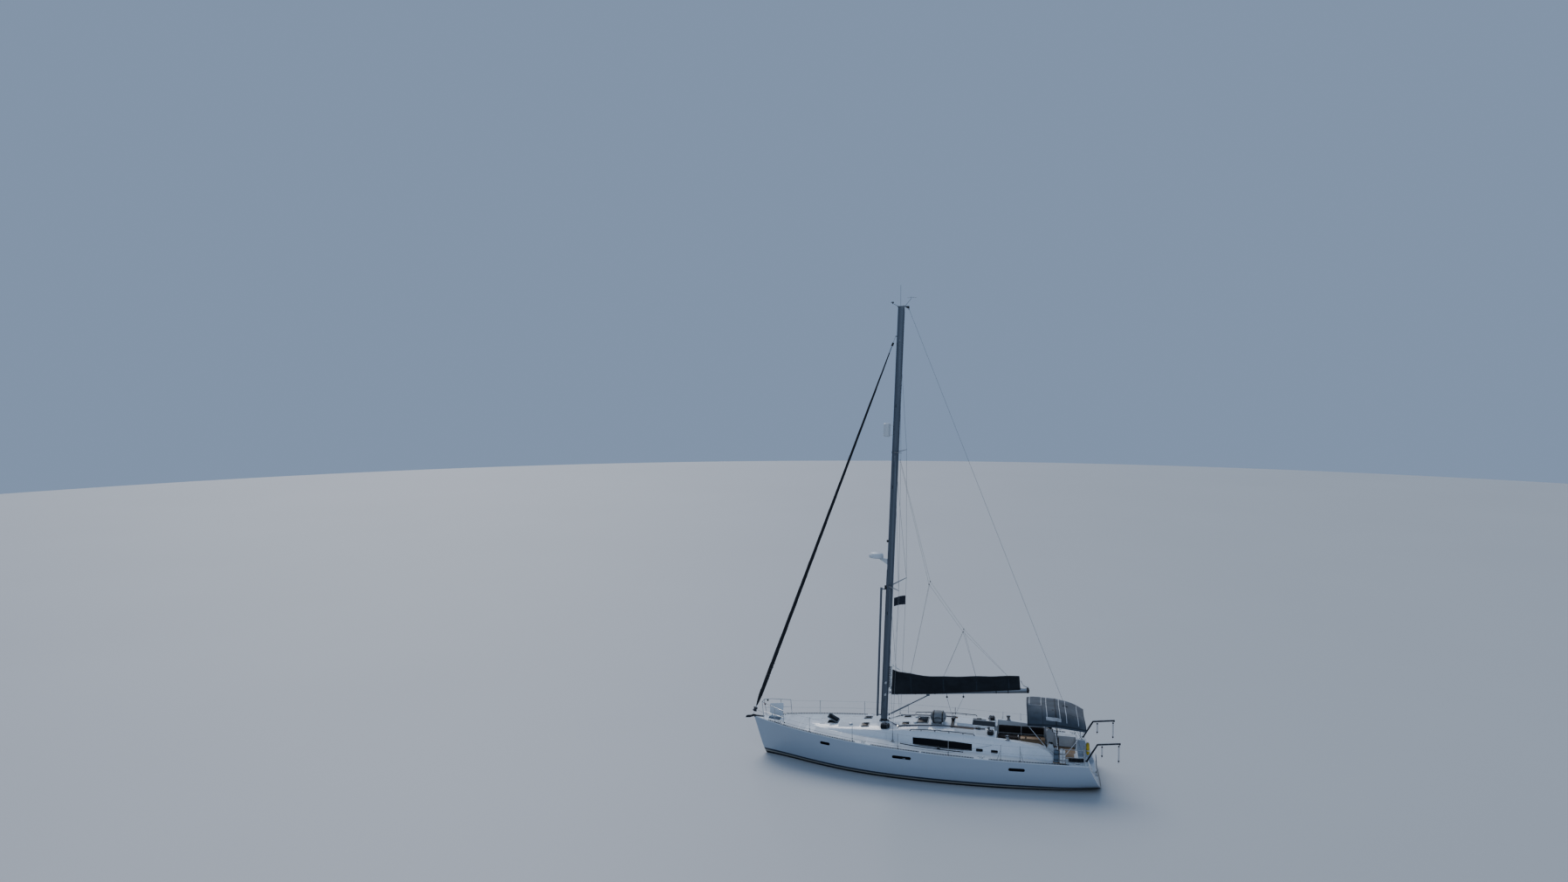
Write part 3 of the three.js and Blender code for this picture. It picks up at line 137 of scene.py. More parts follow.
class Finish:  # one material; what varies is written as sums of wires
    def __init__(self, name, colour, roughness=0.5, **plain):
        self.material = bpy.data.materials.new(name)
        self.material.use_nodes = True
        tree = self.material.node_tree
        self.nodes, self.links, self.shader = tree.nodes, tree.links, tree.nodes["Principled BSDF"]
        self.show({"Base Color": colour, "Roughness": roughness, **plain})

    def put(self, node, values):
        for key, value in values.items():
            socket = node.inputs[key]
            if isinstance(value, Wire):
                self.links.new(value.socket, socket)
            elif socket.type == "RGBA":
                socket.default_value = (*value[:3], 1)
            else:
                socket.default_value = value

    def show(self, values):
        self.put(self.shader, values)

    def node(self, kind, settings, values, output=0):
        made = self.nodes.new("ShaderNode" + kind)
        for key, value in settings.items():
            setattr(made, key, value)
        self.put(made, values)
        return Wire(self, made.outputs[output])

    def maths(self, operation, first, second):
        return self.node("Math", {"operation": operation}, {0: first, 1: second})

    def mix(self, share, low, high):
        return self.node("Mix", {"data_type": "RGBA"}, {0: share, 6: low, 7: high}, 2)

    def step(self, value, low, high):
        return self.node("MapRange", {"interpolation_type": "SMOOTHSTEP"}, {0: value, 1: low, 2: high})

    def place(self, stretch=(1, 1, 1), turn=(0, 0, 0)):
        spot = self.node("TexCoord", {}, {}, "Object")
        return self.node("Mapping", {}, {"Vector": spot, "Rotation": turn, "Scale": stretch})

    def axes(self):
        spot = self.place()
        return [self.node("SeparateXYZ", {}, {0: spot}, axis) for axis in "XYZ"]

    def cloud(self, scale, stretch=(1, 1, 1), detail=3, turn=(0, 0, 0)):
        values = {"Vector": self.place(stretch, turn), "Scale": scale, "Detail": detail}
        return self.node("TexNoise", {}, values)

    def cells(self, scale, stretch=(1, 1, 1)):
        return self.node("TexVoronoi", {}, {"Vector": self.place(stretch), "Scale": scale})

    def relief(self, height, depth, strength=1):
        bump = self.node("Bump", {}, {"Strength": strength, "Distance": depth, "Height": height})
        self.show({"Normal": bump})


def moulded(name, colour, roughness=0.26, coat=0.4, grime=0.5):  # glossy moulded plastic or gelcoat
    made = Finish(name, colour, **{"Coat Weight": coat, "Coat Roughness": 0.12})
    dull = tuple(c * f for c, f in zip(colour, (0.9, 0.9, 0.885)))
    soft = made.mix(made.cloud(0.7), colour, shade(colour, 1.035))
    dirt = made.step(made.cloud(2.1, (1, 1, 0.25), 6), 0.52, 0.86) * grime
    made.show({"Base Color": made.mix(dirt, soft, dull),
               "Roughness": made.cloud(3) * 0.16 + (roughness - 0.06)})
    made.relief(made.cloud(38, detail=2), 0.0008, 0.25)
    return made


def metal(name, colour, roughness, stretch=(1, 1, 1), tarnish=0.25):
    made = Finish(name, colour, Metallic=1)
    worn = made.step(made.cloud(6, stretch, 5), 0.4, 0.85)
    grain = made.cloud(90, stretch, 2)
    tone = made.mix(worn * tarnish, colour, shade(colour, 0.62))
    made.show({"Base Color": tone, "Roughness": worn * 0.18 + grain * 0.08 + roughness})
    made.relief(grain, 0.0003, 0.3)
    return made


def plastic(name, colour, roughness=0.42, metallic=0):
    made = Finish(name, colour, Metallic=metallic)
    worn = made.step(made.cloud(9, detail=6), 0.5, 0.8)
    pale = shade(colour, 0.86, 0.03)
    made.show({"Base Color": made.mix(worn * 0.35, colour, pale), "Roughness": worn * 0.2 + roughness})
    made.relief(made.cells(420), 0.0004, 0.3)
    return made


def canvas(name, colour, weave=900, faded=0.35, roughness=0.82, sheen=0.12):  # woven cloth
    made = Finish(name, colour, **{"Sheen Weight": sheen, "Sheen Roughness": 0.5})
    x, y, z = made.axes()
    folds = made.cloud(3.2, (1, 1, 1.6), 5)
    # painted shade in the creases: the cloth is darker where the fold noise sinks the bump; the bleaching
    # below is real fading
    creaseShadedTone = made.mix(made.step(folds, 0.3, 0.66), shade(colour, 0.68), colour)
    bleached = made.step(made.cloud(0.8, detail=4), 0.4, 0.75) * faded
    creaseShadedTone = made.mix(bleached, creaseShadedTone, shade(colour, 1.5, 0.012))
    thread = (x * weave).wave() * (z * weave + y * weave).wave() * 0.5 + 0.5
    made.show({"Base Color": creaseShadedTone, "Roughness": thread * 0.08 + roughness})
    made.relief(thread * 0.35 + folds * 3, 0.004, 0.45)
    return made


def rope(name, colour, fleck, scale=420):
    made = Finish(name, colour, 0.8)
    x, y, z = made.axes()
    braid = ((x + z) * scale).wave() * ((y - z) * scale).wave()
    yarn = made.mix(made.cloud(5), colour, shade(colour, 0.8))
    made.show({"Base Color": made.mix(braid > 0.55, yarn, fleck)})
    made.relief(braid * 0.5 + 0.5, 0.001, 0.7)
    return made


hullLook = {
    # shadedTopsides: the hull's pale gelcoat with painted shade worked into its colour, as for a side turned
    # from the light
    "shadedTopsides": (0.38, 0.44, 0.515),
    "bottom": (0.012, 0.015, 0.019),
    "lightBand": (0.3, 0.3, 0.27),
    "darkBand": (0.035, 0.05, 0.075),
    "lightFrom": 0.085,
    "darkFrom": 0.145,
    "darkTo": 0.225,
}


def makeHullFinish():
    made = moulded("hullGelcoat", hullLook["shadedTopsides"], 0.22, 0.6, 0.8)
    x, y, z = made.axes()
    runs = made.step(made.cloud(1, (9, 9, 0.35), 5), 0.56, 0.82) * made.step(z, 1.5, 0.2)
    # the topsides colour carries painted shade of the hull side; the runs below are real dirt streaks
    clean = made.mix(made.cloud(0.45), hullLook["shadedTopsides"], shade(hullLook["shadedTopsides"], 1.05))
    white = made.mix(runs * 0.35, clean, (0.4, 0.41, 0.39))
    slime = made.mix(made.step(made.cloud(2.2, detail=6), 0.35, 0.75), hullLook["bottom"],
                     (0.03, 0.036, 0.032))
    banded = made.mix(z > hullLook["lightFrom"], slime, hullLook["lightBand"])
    banded = made.mix(z > hullLook["darkFrom"], banded, hullLook["darkBand"])
    above = z > hullLook["darkTo"]
    made.show({"Base Color": made.mix(above, banded, white)})
    made.show({"Roughness": (1 - (z > hullLook["lightFrom"])) * 0.5 + made.cloud(2.5) * 0.12 + 0.16})
    return made


def makeTeak():
    made = Finish("teakDeck", (0.3, 0.21, 0.13), 0.65)
    x, y, z = made.axes()
    strip = y * (1 / 0.052)
    seam = (strip.fraction() - 0.5).size() > 0.455
    index = strip - strip.fraction()
    tone = made.node("TexWhiteNoise", {"noise_dimensions": "1D"}, {"W": index})
    grain = made.cloud(7, (0.9, 16, 16), 8)
    wood = made.mix(grain, (0.19, 0.125, 0.075), (0.4, 0.3, 0.2))
    wood = made.mix(tone * 0.4, wood, (0.34, 0.29, 0.235))
    made.show({"Base Color": made.mix(seam, wood, (0.018, 0.018, 0.02)), "Roughness": grain * 0.25 + 0.5})
    made.relief(grain * 0.25 + (1 - seam), 0.0022, 0.7)
    return made


def makeNonSkid():
    made = Finish("nonSkid", (0.52, 0.57, 0.62), 0.8)
    x, y, z = made.axes()
    studs = ((x + y) * 520).wave() * ((x - y) * 520).wave() * 0.5 + 0.5
    wear = made.step(made.cloud(1.4, detail=6), 0.4, 0.8)
    tone = made.mix(wear * 0.6, (0.55, 0.6, 0.65), (0.44, 0.47, 0.5))
    made.show({"Base Color": tone, "Roughness": studs * 0.1 + 0.7})
    made.relief(studs, 0.0015, 0.8)
    return made


def makeWire():
    made = Finish("wireRope", (0.36, 0.38, 0.4), 0.35, Metallic=0.9)
    x, y, z = made.axes()
    twist = ((x + y) * 700 + z * 500).wave()
    rough = twist * 0.08 + 0.38
    # painted shade in the grooves between strands and painted highlight on their crowns, following the twist
    # of the bump
    tone = made.mix(twist > 0.2, (0.22, 0.23, 0.25), (0.42, 0.44, 0.46))
    made.show({"Roughness": rough, "Base Color": tone})
    made.relief(twist, 0.0006, 0.6)
    return made


def makeBottomPaint(name, colour):
    made = Finish(name, colour, 0.75)
    slime = made.step(made.cloud(2.2, detail=7), 0.35, 0.75)
    made.show({"Base Color": made.mix(slime, colour, shade(colour, 1.6, 0.012)),
               "Roughness": slime * 0.2 + 0.62})
    made.relief(made.cloud(26, detail=5), 0.003, 0.4)
    return made


white = (0.62, 0.665, 0.71)
finishes = {
    "hull": makeHullFinish(),
    "gelcoat": moulded("gelcoatWhite", white),
    "deck": moulded("deckGelcoat", (0.585, 0.64, 0.69), 0.34, 0.25, 0.8),
    "nonSkid": makeNonSkid(),
    "teak": makeTeak(),
    "wire": makeWire(),
    "bottom": makeBottomPaint("bottomPaint", (0.012, 0.014, 0.018)),
    "keelIron": makeBottomPaint("keelPaint", (0.02, 0.022, 0.026)),
    "mastAlloy": metal("mastAlloy", (0.19, 0.215, 0.25), 0.42, (1, 1, 0.04), 0.35),
    "boomAlloy": metal("boomAlloy", (0.27, 0.3, 0.34), 0.4, (0.04, 1, 1), 0.35),
    "railAlloy": metal("darkRail", (0.05, 0.06, 0.075), 0.45),
    "steel": metal("polishedSteel", (0.52, 0.54, 0.56), 0.16, tarnish=0.4),
    "bronze": metal("propellerBronze", (0.42, 0.27, 0.09), 0.34, tarnish=0.7),
    "zinc": metal("zincAnode", (0.34, 0.35, 0.36), 0.6, tarnish=0.8),
    "black": plastic("blackPlastic", (0.016, 0.018, 0.022)),
    "whitePlastic": plastic("whitePlastic", (0.6, 0.63, 0.66), 0.36),
    "greyPlastic": plastic("greyPlastic", (0.16, 0.18, 0.2)),
    "rubber": plastic("blackRubber", (0.012, 0.012, 0.013), 0.68),
    "enginePaint": plastic("enginePaint", (0.1, 0.14, 0.15), 0.4),
    "bagCloth": canvas("bagCloth", (0.017, 0.021, 0.028), faded=0.5),
    "genoaCloth": canvas("foresailCover", (0.014, 0.017, 0.023), 700, 0.25, 0.7),
    "canopyCloth": canvas("canopyCloth", (0.062, 0.082, 0.108), faded=0.45),
    "hemCloth": canvas("canopyBinding", (0.032, 0.044, 0.06), faded=0.2),
    "panelEdge": canvas("panelEdge", (0.46, 0.49, 0.53), faded=0.1),
    "raftCloth": canvas("raftCloth", (0.24, 0.26, 0.28), faded=0.3),
    "cushionCloth": canvas("cushionCloth", (0.04, 0.034, 0.033), 1100, 0.25),
    "pipingCloth": canvas("pipingCloth", (0.085, 0.078, 0.075), 1100, 0.1),
    "flagCloth": canvas("flagCloth", (0.028, 0.034, 0.05), 1300, 0.1, 0.75),
    "sailCloth": canvas("sailCloth", (0.56, 0.58, 0.58), 1500, 0.2, 0.6, 0.1),
    "yellowCloth": canvas("buoyCloth", (0.52, 0.4, 0.035), 800, 0.2, 0.6),
    "whiteCloth": canvas("whiteCloth", (0.5, 0.53, 0.55), 800, 0.2, 0.7),
    "blueCloth": canvas("blueGreyCloth", (0.13, 0.18, 0.24), 800, 0.3),
    "leather": canvas("wheelLeather", (0.022, 0.02, 0.02), 300, 0.2, 0.45, 0),
    "ropeWhite": rope("ropeWhite", (0.46, 0.48, 0.5), (0.05, 0.08, 0.16)),
    "ropeNavy": rope("ropeNavy", (0.03, 0.04, 0.07), (0.3, 0.32, 0.34)),
    "ropeGrey": rope("ropeGrey", (0.14, 0.15, 0.17), (0.05, 0.06, 0.07)),
    "ropeRed": rope("ropeRed", (0.34, 0.36, 0.38), (0.3, 0.03, 0.03)),
    "acrylic": moulded("tintedAcrylic", (0.004, 0.006, 0.01), 0.14, 0, 0.2),
    "redLens": moulded("redLens", (0.42, 0.02, 0.02), 0.1, 1, 0.1),
    "greenLens": moulded("greenLens", (0.02, 0.26, 0.1), 0.1, 1, 0.1),
    "clearLens": moulded("clearLens", (0.62, 0.64, 0.66), 0.08, 1, 0.1),
}
finishes["acrylic"].show({"Specular IOR Level": 0.1})
print("finishes made:", len(finishes))

nodeFinishes = {
    "hull": "hull",
    "deck": "deck",
    "gelcoat": "coachroof cockpit_tub sea_hood anchor_locker_lid helm_console_port "
        "helm_console_starboard",
    "acrylic": "window_port window_starboard companionway_hatch",
    "greyPlastic": "forehatch_lid hatch_port hatch_starboard hatch_saloon",
    "teak": "companionway_steps cockpit_table",
    "keelIron": "ballast_keel",
    "bottom": "rudder",
    "steel": "prop_shaft pulpit pushpit_port pushpit_starboard lifelines_port lifelines_starboard "
        "bimini_frame swim_ladder ladder_hinge",
    "bronze": "propeller shaft_bracket stern_tube",
    "enginePaint": "engine",
    "mastAlloy": "mast spreaders_lower spreaders_upper vang whisker_pole",
    "wire": "shrouds_port shrouds_starboard backstay forestay",
    "black": "masthead mainsheet_track windlass",
    "boomAlloy": "boom",
    "whitePlastic": "radar radar_reflector",
    "railAlloy": "bow_roller davit_port davit_starboard",
}


def smoother(angleDegrees):  # rounds the shading of a faceted piece, and keeps its real edges
    tree = bpy.data.node_groups.new("softEdges", "GeometryNodeTree")
    for way in ("INPUT", "OUTPUT"):
        tree.interface.new_socket("Geometry", in_out=way, socket_type="NodeSocketGeometry")
    kinds = ("NodeGroupInput", "GeometryNodeMergeByDistance", "GeometryNodeSetShadeSmooth",
             "GeometryNodeSetShadeSmooth", "NodeGroupOutput", "GeometryNodeInputMeshEdgeAngle",
             "ShaderNodeMath")
    start, weld, smooth, edge, end, angle, compare = [tree.nodes.new(kind) for kind in kinds]
    weld.inputs["Distance"].default_value = 0.00005
    edge.domain = "EDGE"
    edge.inputs["Shade Smooth"].default_value = False
    compare.operation = "GREATER_THAN"
    compare.inputs[1].default_value = radians(angleDegrees)
    for source, sink in ((start, weld), (weld, smooth), (smooth, edge), (edge, end)):
        tree.links.new(source.outputs[0], sink.inputs[0])
    tree.links.new(angle.outputs["Unsigned Angle"], compare.inputs[0])
    tree.links.new(compare.outputs[0], edge.inputs["Selection"])
    return tree


softEdges = smoother(32)
for key, names in nodeFinishes.items():
    for name in names.split():
        for slot in cad[name].material_slots:
            slot.material = finishes[key].material
        cad[name].modifiers.new("softEdges", "NODES").node_group = softEdges
print("frame nodes dressed")


class Shape:  # one piece in the making, in metres
    def __init__(self, finish):
        self.points, self.faces, self.paints = [], [], []
        self.finishes, self.paint, self.frame = [finish], 0, Matrix.Identity(4)

    def use(self, finish):
        if finish not in self.finishes:
            self.finishes.append(finish)
        self.paint = self.finishes.index(finish)
        return self

    def at(self, place=(0, 0, 0)):
        self.frame = Matrix.Translation(place)
        return self

    def add(self, points, faces):
        first = len(self.points)
        self.points += [self.frame @ Vector(p) for p in points]
        self.faces += [[first + i for i in face] for face in faces]
        self.paints += [self.paint] * len(faces)
        return self

    def skin(self, rings, loop=False):
        count, total = len(rings[0]), len(rings)
        faces = []
        for i in range(total if loop else total - 1):
            a, b = i * count, (i + 1) % total * count
            faces += [[a + j, a + (j + 1) % count, b + (j + 1) % count, b + j] for j in range(count)]
        if not loop:
            faces += [list(range(count))[::-1], [(total - 1) * count + j for j in range(count)]]
        return self.add([p for ring in rings for p in ring], faces)

    def tube(self, path, radius, edges=8, loop=False):
        path = [Vector(p) for p in path]
        last = len(path) - 1
        radii = radius if isinstance(radius, list) else [radius] * len(path)
        up, rings = Vector((0.13, 0.21, 0.97)), []
        for i, spot in enumerate(path):
            after = path[(i + 1) % len(path)] if loop or i < last else spot
            before = path[i - 1] if loop or i else spot
            way = (after - before).normalized()
            up = (up - way * up.dot(way)).normalized()
            across = way.cross(up)
            rings.append([spot + (up * cos(a) + across * sin(a)) * radii[i] for a in circle(edges)])
        return self.skin(rings, loop)

    def lathe(self, profile, edges=24, foot=(0, 0, 0), way=(0, 0, 1)):  # rows of radius and height
        place = Matrix.Translation(foot) @ raised(1).rotation_difference(Vector(way)).to_matrix().to_4x4()
        rings = [[(r * cos(a), r * sin(a), h) for a in circle(edges)] for r, h in profile]
        return self.skin([[place @ Vector(p) for p in ring] for ring in rings])

    def take(self, made):
        made.verts.index_update()
        self.add([v.co.copy() for v in made.verts], [[v.index for v in face.verts] for face in made.faces])
        made.free()
        return self

    def block(self, low, high, rounding=0.004, steps=2):
        made = bmesh.new()
        bmesh.ops.create_cube(made, size=1)
        low, high = Vector(low), Vector(high)
        for v in made.verts:
            v.co = Vector([(low[i] + high[i]) / 2 + v.co[i] * (high[i] - low[i]) for i in range(3)])
        bmesh.ops.bevel(made, geom=made.edges[:], offset=rounding, segments=steps, profile=0.5,
                        affect="EDGES")
        return self.take(made)

    def box(self, spot, low, high, rounding=0.004, steps=2):  # a block placed from a point
        return self.block(spot + Vector(low), spot + Vector(high), rounding, steps)

    def plate(self, outline, low, high, rounding=0.003, steps=2):  # an outline in x and y, made solid
        made = bmesh.new()
        face = made.faces.new([made.verts.new((x, y, low)) for x, y in outline])
        grown = bmesh.ops.extrude_face_region(made, geom=[face])["geom"]
        for v in grown:
            if isinstance(v, bmesh.types.BMVert):
                v.co.z = high
        rims = [e for e in made.edges if abs(e.verts[0].co.z - e.verts[1].co.z) < 1e-6]
        if rounding:
            bmesh.ops.bevel(made, geom=rims, offset=rounding, segments=steps, profile=0.5, affect="EDGES")
        return self.take(made)

    def cloth(self, spot, across, along, thick):  # spot(u, v) gives the sheet, for u and v from 0 to 1
        grid = [[Vector(spot(i / across, j / along)) for j in range(along + 1)] for i in range(across + 1)]
        normals = []
        for i in range(across + 1):
            for j in range(along + 1):
                du = grid[min(i + 1, across)][j] - grid[max(i - 1, 0)][j]
                dv = grid[i][min(j + 1, along)] - grid[i][max(j - 1, 0)]
                normals.append(du.cross(dv).normalized() * thick / 2)
        flat = [p for row in grid for p in row]
        count, wide = len(flat), along + 1
        points = [p + n for p, n in zip(flat, normals)] + [p - n for p, n in zip(flat, normals)]
        faces = []
        for i in range(across):
            for j in range(along):
                a = i * wide + j
                faces.append([a, a + wide, a + wide + 1, a + 1])
                faces.append([count + a, count + a + 1, count + a + wide + 1, count + a + wide])
        rim = [i * wide for i in range(across)] + [across * wide + j for j in range(along)]
        rim += [i * wide + along for i in range(across, 0, -1)] + list(range(along, 0, -1))
        faces += [[a, b, count + b, count + a] for a, b in zip(rim[1:] + rim[:1], rim)]
        return self.add(points, faces)

    def piece(self, name, body="yacht", slot=None, stands=(), sharp=38):
        made = bmesh.new()
        corners = [made.verts.new(p) for p in self.points]
        for face, paint in zip(self.faces, self.paints):
            new = made.faces.new([corners[i] for i in face])
            new.material_index, new.smooth = paint, True
        bmesh.ops.remove_doubles(made, verts=made.verts[:], dist=1e-6)
        bmesh.ops.recalc_face_normals(made, faces=made.faces[:])
        for edge in made.edges:
            edge.smooth = edge.calc_face_angle(0) < radians(sharp)
        mesh = bpy.data.meshes.new(name)
        made.to_mesh(mesh)
        made.free()
        for finish in self.finishes:
            mesh.materials.append(finishes[finish].material)
        piece = bpy.data.objects.new(name, mesh)
        bpy.context.scene.collection.objects.link(piece)
        if body:
            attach(piece, body)
        if stands:
            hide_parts(*stands)
        return piece


def between(rows, x):  # reads a table of two columns in straight lines
    rows = sorted(rows)
    if x <= rows[0][0]:
        return rows[0][1]
    for (x0, y0), (x1, y1) in zip(rows, rows[1:]):
        if x <= x1:
            return y0 + (y1 - y0) * (x - x0) / (x1 - x0)
    return rows[-1][1]


def curved(points, steps=6, loop=False):  # a smooth path through the points
    points = [Vector(p) for p in points]
    count = len(points)
    path = []
    for i in range(count if loop else count - 1):
        pick = (lambda k: points[k % count]) if loop else (lambda k: points[max(0, min(count - 1, k))])
        a, b, c, d = pick(i - 1), pick(i), pick(i + 1), pick(i + 2)
        for j in range(steps):
            t = j / steps
            square, cube = a - b * 2.5 + c * 2 - d / 2, b * 1.5 - a / 2 - c * 1.5 + d / 2
            path.append(b + (c - a) * t / 2 + square * t**2 + cube * t**3)
    return path if loop else path + [points[-1]]


def spaced(start, end, count):  # even steps, both ends included
    return [start + (end - start) * i / (count - 1) for i in range(count)]


def capsule(halfLong, halfTall, count=10):  # a bar with round ends
    straight = halfLong - halfTall
    angles = [pi * (i / count - 0.5) for i in range(count + 1)]
    right = [(straight + halfTall * cos(a), halfTall * sin(a)) for a in angles]
    return right + [(-u, -v) for u, v in right]


def rounded(halfLong, halfTall, corner, count=4):  # a rectangle with round corners
    made = []
    for k, (su, sv) in enumerate(((1, 1), (-1, 1), (-1, -1), (1, -1))):
        u, v = su * (halfLong - corner), sv * (halfTall - corner)
        for i in range(count + 1):
            a = pi / 2 * (k + i / count)
            made.append((u + corner * cos(a), v + corner * sin(a)))
    return made


def skinOf(*names):  # the faces of these nodes, for rays to meet
    points, faces = [], []
    for name in names:
        first = len(points)
        mesh = cad[name].data
        points += [v.co.copy() for v in mesh.vertices]
        faces += [[first + i for i in polygon.vertices] for polygon in mesh.polygons]
    return BVHTree.FromPolygons(points, faces)


def hoop(spot, reach, turn, steps):  # a ring of points round a spot, from two half axes
    return [spot + reach * cos(t) + turn * sin(t) for t in circle(steps)]


hullSkin = skinOf("hull")
deckSkin = skinOf("deck")
topSkin = skinOf("deck", "coachroof", "cockpit_tub", "sea_hood")
sideSkin = skinOf("coachroof", "cockpit_tub")


def onSide(skin, x, z, side):
    return skin.ray_cast(Vector((x, side * 4, z)), Vector((0, -side, 0)))[0]


def onTop(x, y):
    return topSkin.ray_cast(Vector((x, y, 3)), raised(-1))[0]


def sheer(x):  # height of the deck's edge
    return 1.34 + 0.03 * x + 0.001333 * x * x


def edgeOf(x, side):  # the outer corner of the deck
    hit = deckSkin.ray_cast(Vector((x, side * 4, sheer(x) - 0.018)), Vector((0, -side, 0)))[0]
    return Vector((x, hit.y, sheer(x)))


def rimmed(shape, skin, side, x, z, outline, rim, lift, glass, frameFinish):  # a pane in its frame
    def ring(grow, out):
        made = []
        for u, v in outline(grow):
            spot = onSide(skin, x + u, z + v, side)
            made.append(spot + Vector((0, side * out, 0)))
        return made

    deep = -0.012
    shape.use(glass).skin([ring(-g, lift * 0.5) for g in (0.9, 0.5, 0.12, 0)] + [ring(0.002, deep)])
    edges = [ring(0, deep), ring(0, lift), ring(rim, lift * 0.8), ring(rim + 0.003, deep)]
    shape.use(frameFinish).skin(edges, True)


# Hull: ports, toe rails, cleats, stem fitting and the anodes under water
hullPorts = {
    "rows": [(4, 0.42), (0.64, 0.77), (-4.04, 0.63)],
    "height": 0.1, "below": 0.33, "rim": 0.012, "lift": 0.006,
}


@bothSides
def makeHullPorts(side, sign):
    shape = Shape("acrylic")
    half = hullPorts["height"] / 2
    for x, length in hullPorts["rows"]:
        z = sheer(x) - hullPorts["below"]

        def outline(grow):
            shrink = min(grow, 0) * half
            more = max(grow, 0)
            return capsule(length / 2 + shrink + more, half + shrink * 0.98 + more)

        rimmed(shape, hullSkin, sign, x, z, outline, hullPorts["rim"], hullPorts["lift"],
               "acrylic", "railAlloy")
    shape.piece(f"hull_ports_{side}", slot="tinted_acrylic")


toeRail = {
    "spans": [(6.77, 2.65), (1.97, -0.09), (-0.19, -2.32), (-2.93, -6.09)],
    "height": 0.04, "width": 0.014, "bar": 0.009, "inset": 0.012, "slot": 0.11, "web": 0.03,
}


@bothSides
def makeToeRails(side, sign):
    shape = Shape("railAlloy")
    wide, tall, bar = toeRail["width"], toeRail["height"], toeRail["bar"]

    def section(x, low, high):
        edge = edgeOf(x, sign)
        outer, inner = edge.y - sign * toeRail["inset"], edge.y - sign * (toeRail["inset"] + wide)
        z0, z1 = edge.z + low, edge.z + high
        return [(x, outer, z0), (x, outer, z1), (x, inner, z1), (x, inner, z0)]

    for start, end in toeRail["spans"]:
        count = round(abs(start - end) / toeRail["slot"])
        stations = spaced(start, end, count + 1)
        shape.skin([section(x, 0, bar) for x in stations])
        shape.skin([section(x, tall - bar, tall) for x in stations])
        for x in stations:
            ends = [x + toeRail["web"] / 2, x - toeRail["web"] / 2]
            shape.skin([section(min(max(e, end), start), bar - 0.001, tall - bar + 0.001) for e in ends])
    shape.piece(f"toe_rail_{side}", slot="black_plastic")


cleats = {
    "rows": [(6.25, 0.16), (2.31, 0.1), (-2.62, 0.1), (-6.42, 0.12)],
    "horn": [(-0.15, 0.062), (-0.1, 0.06), (-0.045, 0.052), (0.045, 0.052), (0.1, 0.06), (0.15, 0.062)],
}


@bothSides
def makeCleats(side, sign):
    shape = Shape("steel")
    for x, inset in cleats["rows"]:
        edge = edgeOf(x, sign)
        foot = onTop(x, edge.y - sign * inset)
        shape.at(foot)
        horn = [(x, 0, z) for x, z in cleats["horn"]]
        shape.tube(curved(horn, 4), [0.007] + [0.013] * 19 + [0.007], 10)
        for at in (-0.045, 0.045):
            shape.lathe([(0.03, -0.004), (0.028, 0.006), (0.014, 0.016), (0.012, 0.05)], 14, (at, 0, 0))
    shape.at().piece(f"cleats_{side}", slot="steel")


stemGear = {
    "guard": (1.5, 0.95), "guardSection": ((-0.05, 0.03), (0, 0.012), (0, -0.012), (-0.05, -0.03)),
    "roller": (7.1, 0, 1.63), "anode": (-4.15, 0, -0.6307), "shaftWay": (0.9675, 0, 0.2527),
}


@atOnce
def makeStemGear():
    shape = Shape("steel")
    rings = []
    for z in spaced(*stemGear["guard"], 9):
        hit = hullSkin.ray_cast(Vector((9, 0, z)), Vector((-1, 0, 0)))[0] + Vector((0.006, 0, 0))
        rings.append([hit + Vector((x, y, 0)) for x, y in stemGear["guardSection"]])
    shape.skin(rings)
    shape.lathe([(0, -0.052), (0.018, -0.052), (0.018, 0.052), (0, 0.052)], 16, stemGear["roller"], (0, 1, 0))
    shape.piece("stem_guard", slot="steel")
    anode = Shape("zinc")
    profile = [(0.0205, -0.05), (0.04, -0.045), (0.043, 0), (0.04, 0.045), (0.0205, 0.05)]
    anode.lathe(profile, 24, stemGear["anode"], stemGear["shaftWay"])
    anode.piece("shaft_anode", "propeller_shaft", "bronze")


# Deck: anti-slip panels, each a thin pad that follows the moulding
roofFoot = [(4.9, 0.3), (3.9, 0.8), (2.4, 1.1), (1.65, 1.2), (1, 1.29), (0.3, 1.44), (-1, 1.56), (-2.2, 1.59),
            (-3.1, 1.6), (-3.62, 1.625), (-4.4, 1.67), (-5.09, 1.7), (-5.65, 1.735)]
roofEdge = [(4.9, 0.28), (3.9, 0.72), (2.4, 0.96), (1.65, 1.04), (1, 1.1), (0.3, 1.18), (-1, 1.26),
            (-2.2, 1.29), (-3.1, 1.31)]
deckPads = {
    "side": [(4.55, 3.4), (3.36, 2.2), (2.16, 1.22), (1, -0.3), (-0.34, -1.66), (-1.7, -3.02), (-3.06, -4.3),
             (-4.34, -5.5)],
    "fore": [(5.95, 5.3), (5.26, 4.98)],
    "aft": [(-6.05, -6.72)],
    "toEdge": 0.15, "toFoot": 0.07, "lift": 0.003, "corner": 0.04,
    "roof": [(4.45, 4.24, 0.12, 0.36), (3.58, 2.64, 0.06, 0.66), (2.2, 1.9, 0.08, 0.26),
             (1.3, 0.92, 0.3, 0.98), (0.1, -0.36, 0.5, 1.1), (-1.46, -2.3, 0.76, 1.16),
             (-2.34, -3.02, 0.76, 1.16)],
    "teak": (-1.4, -2.26, 0.49, 0.73),
}


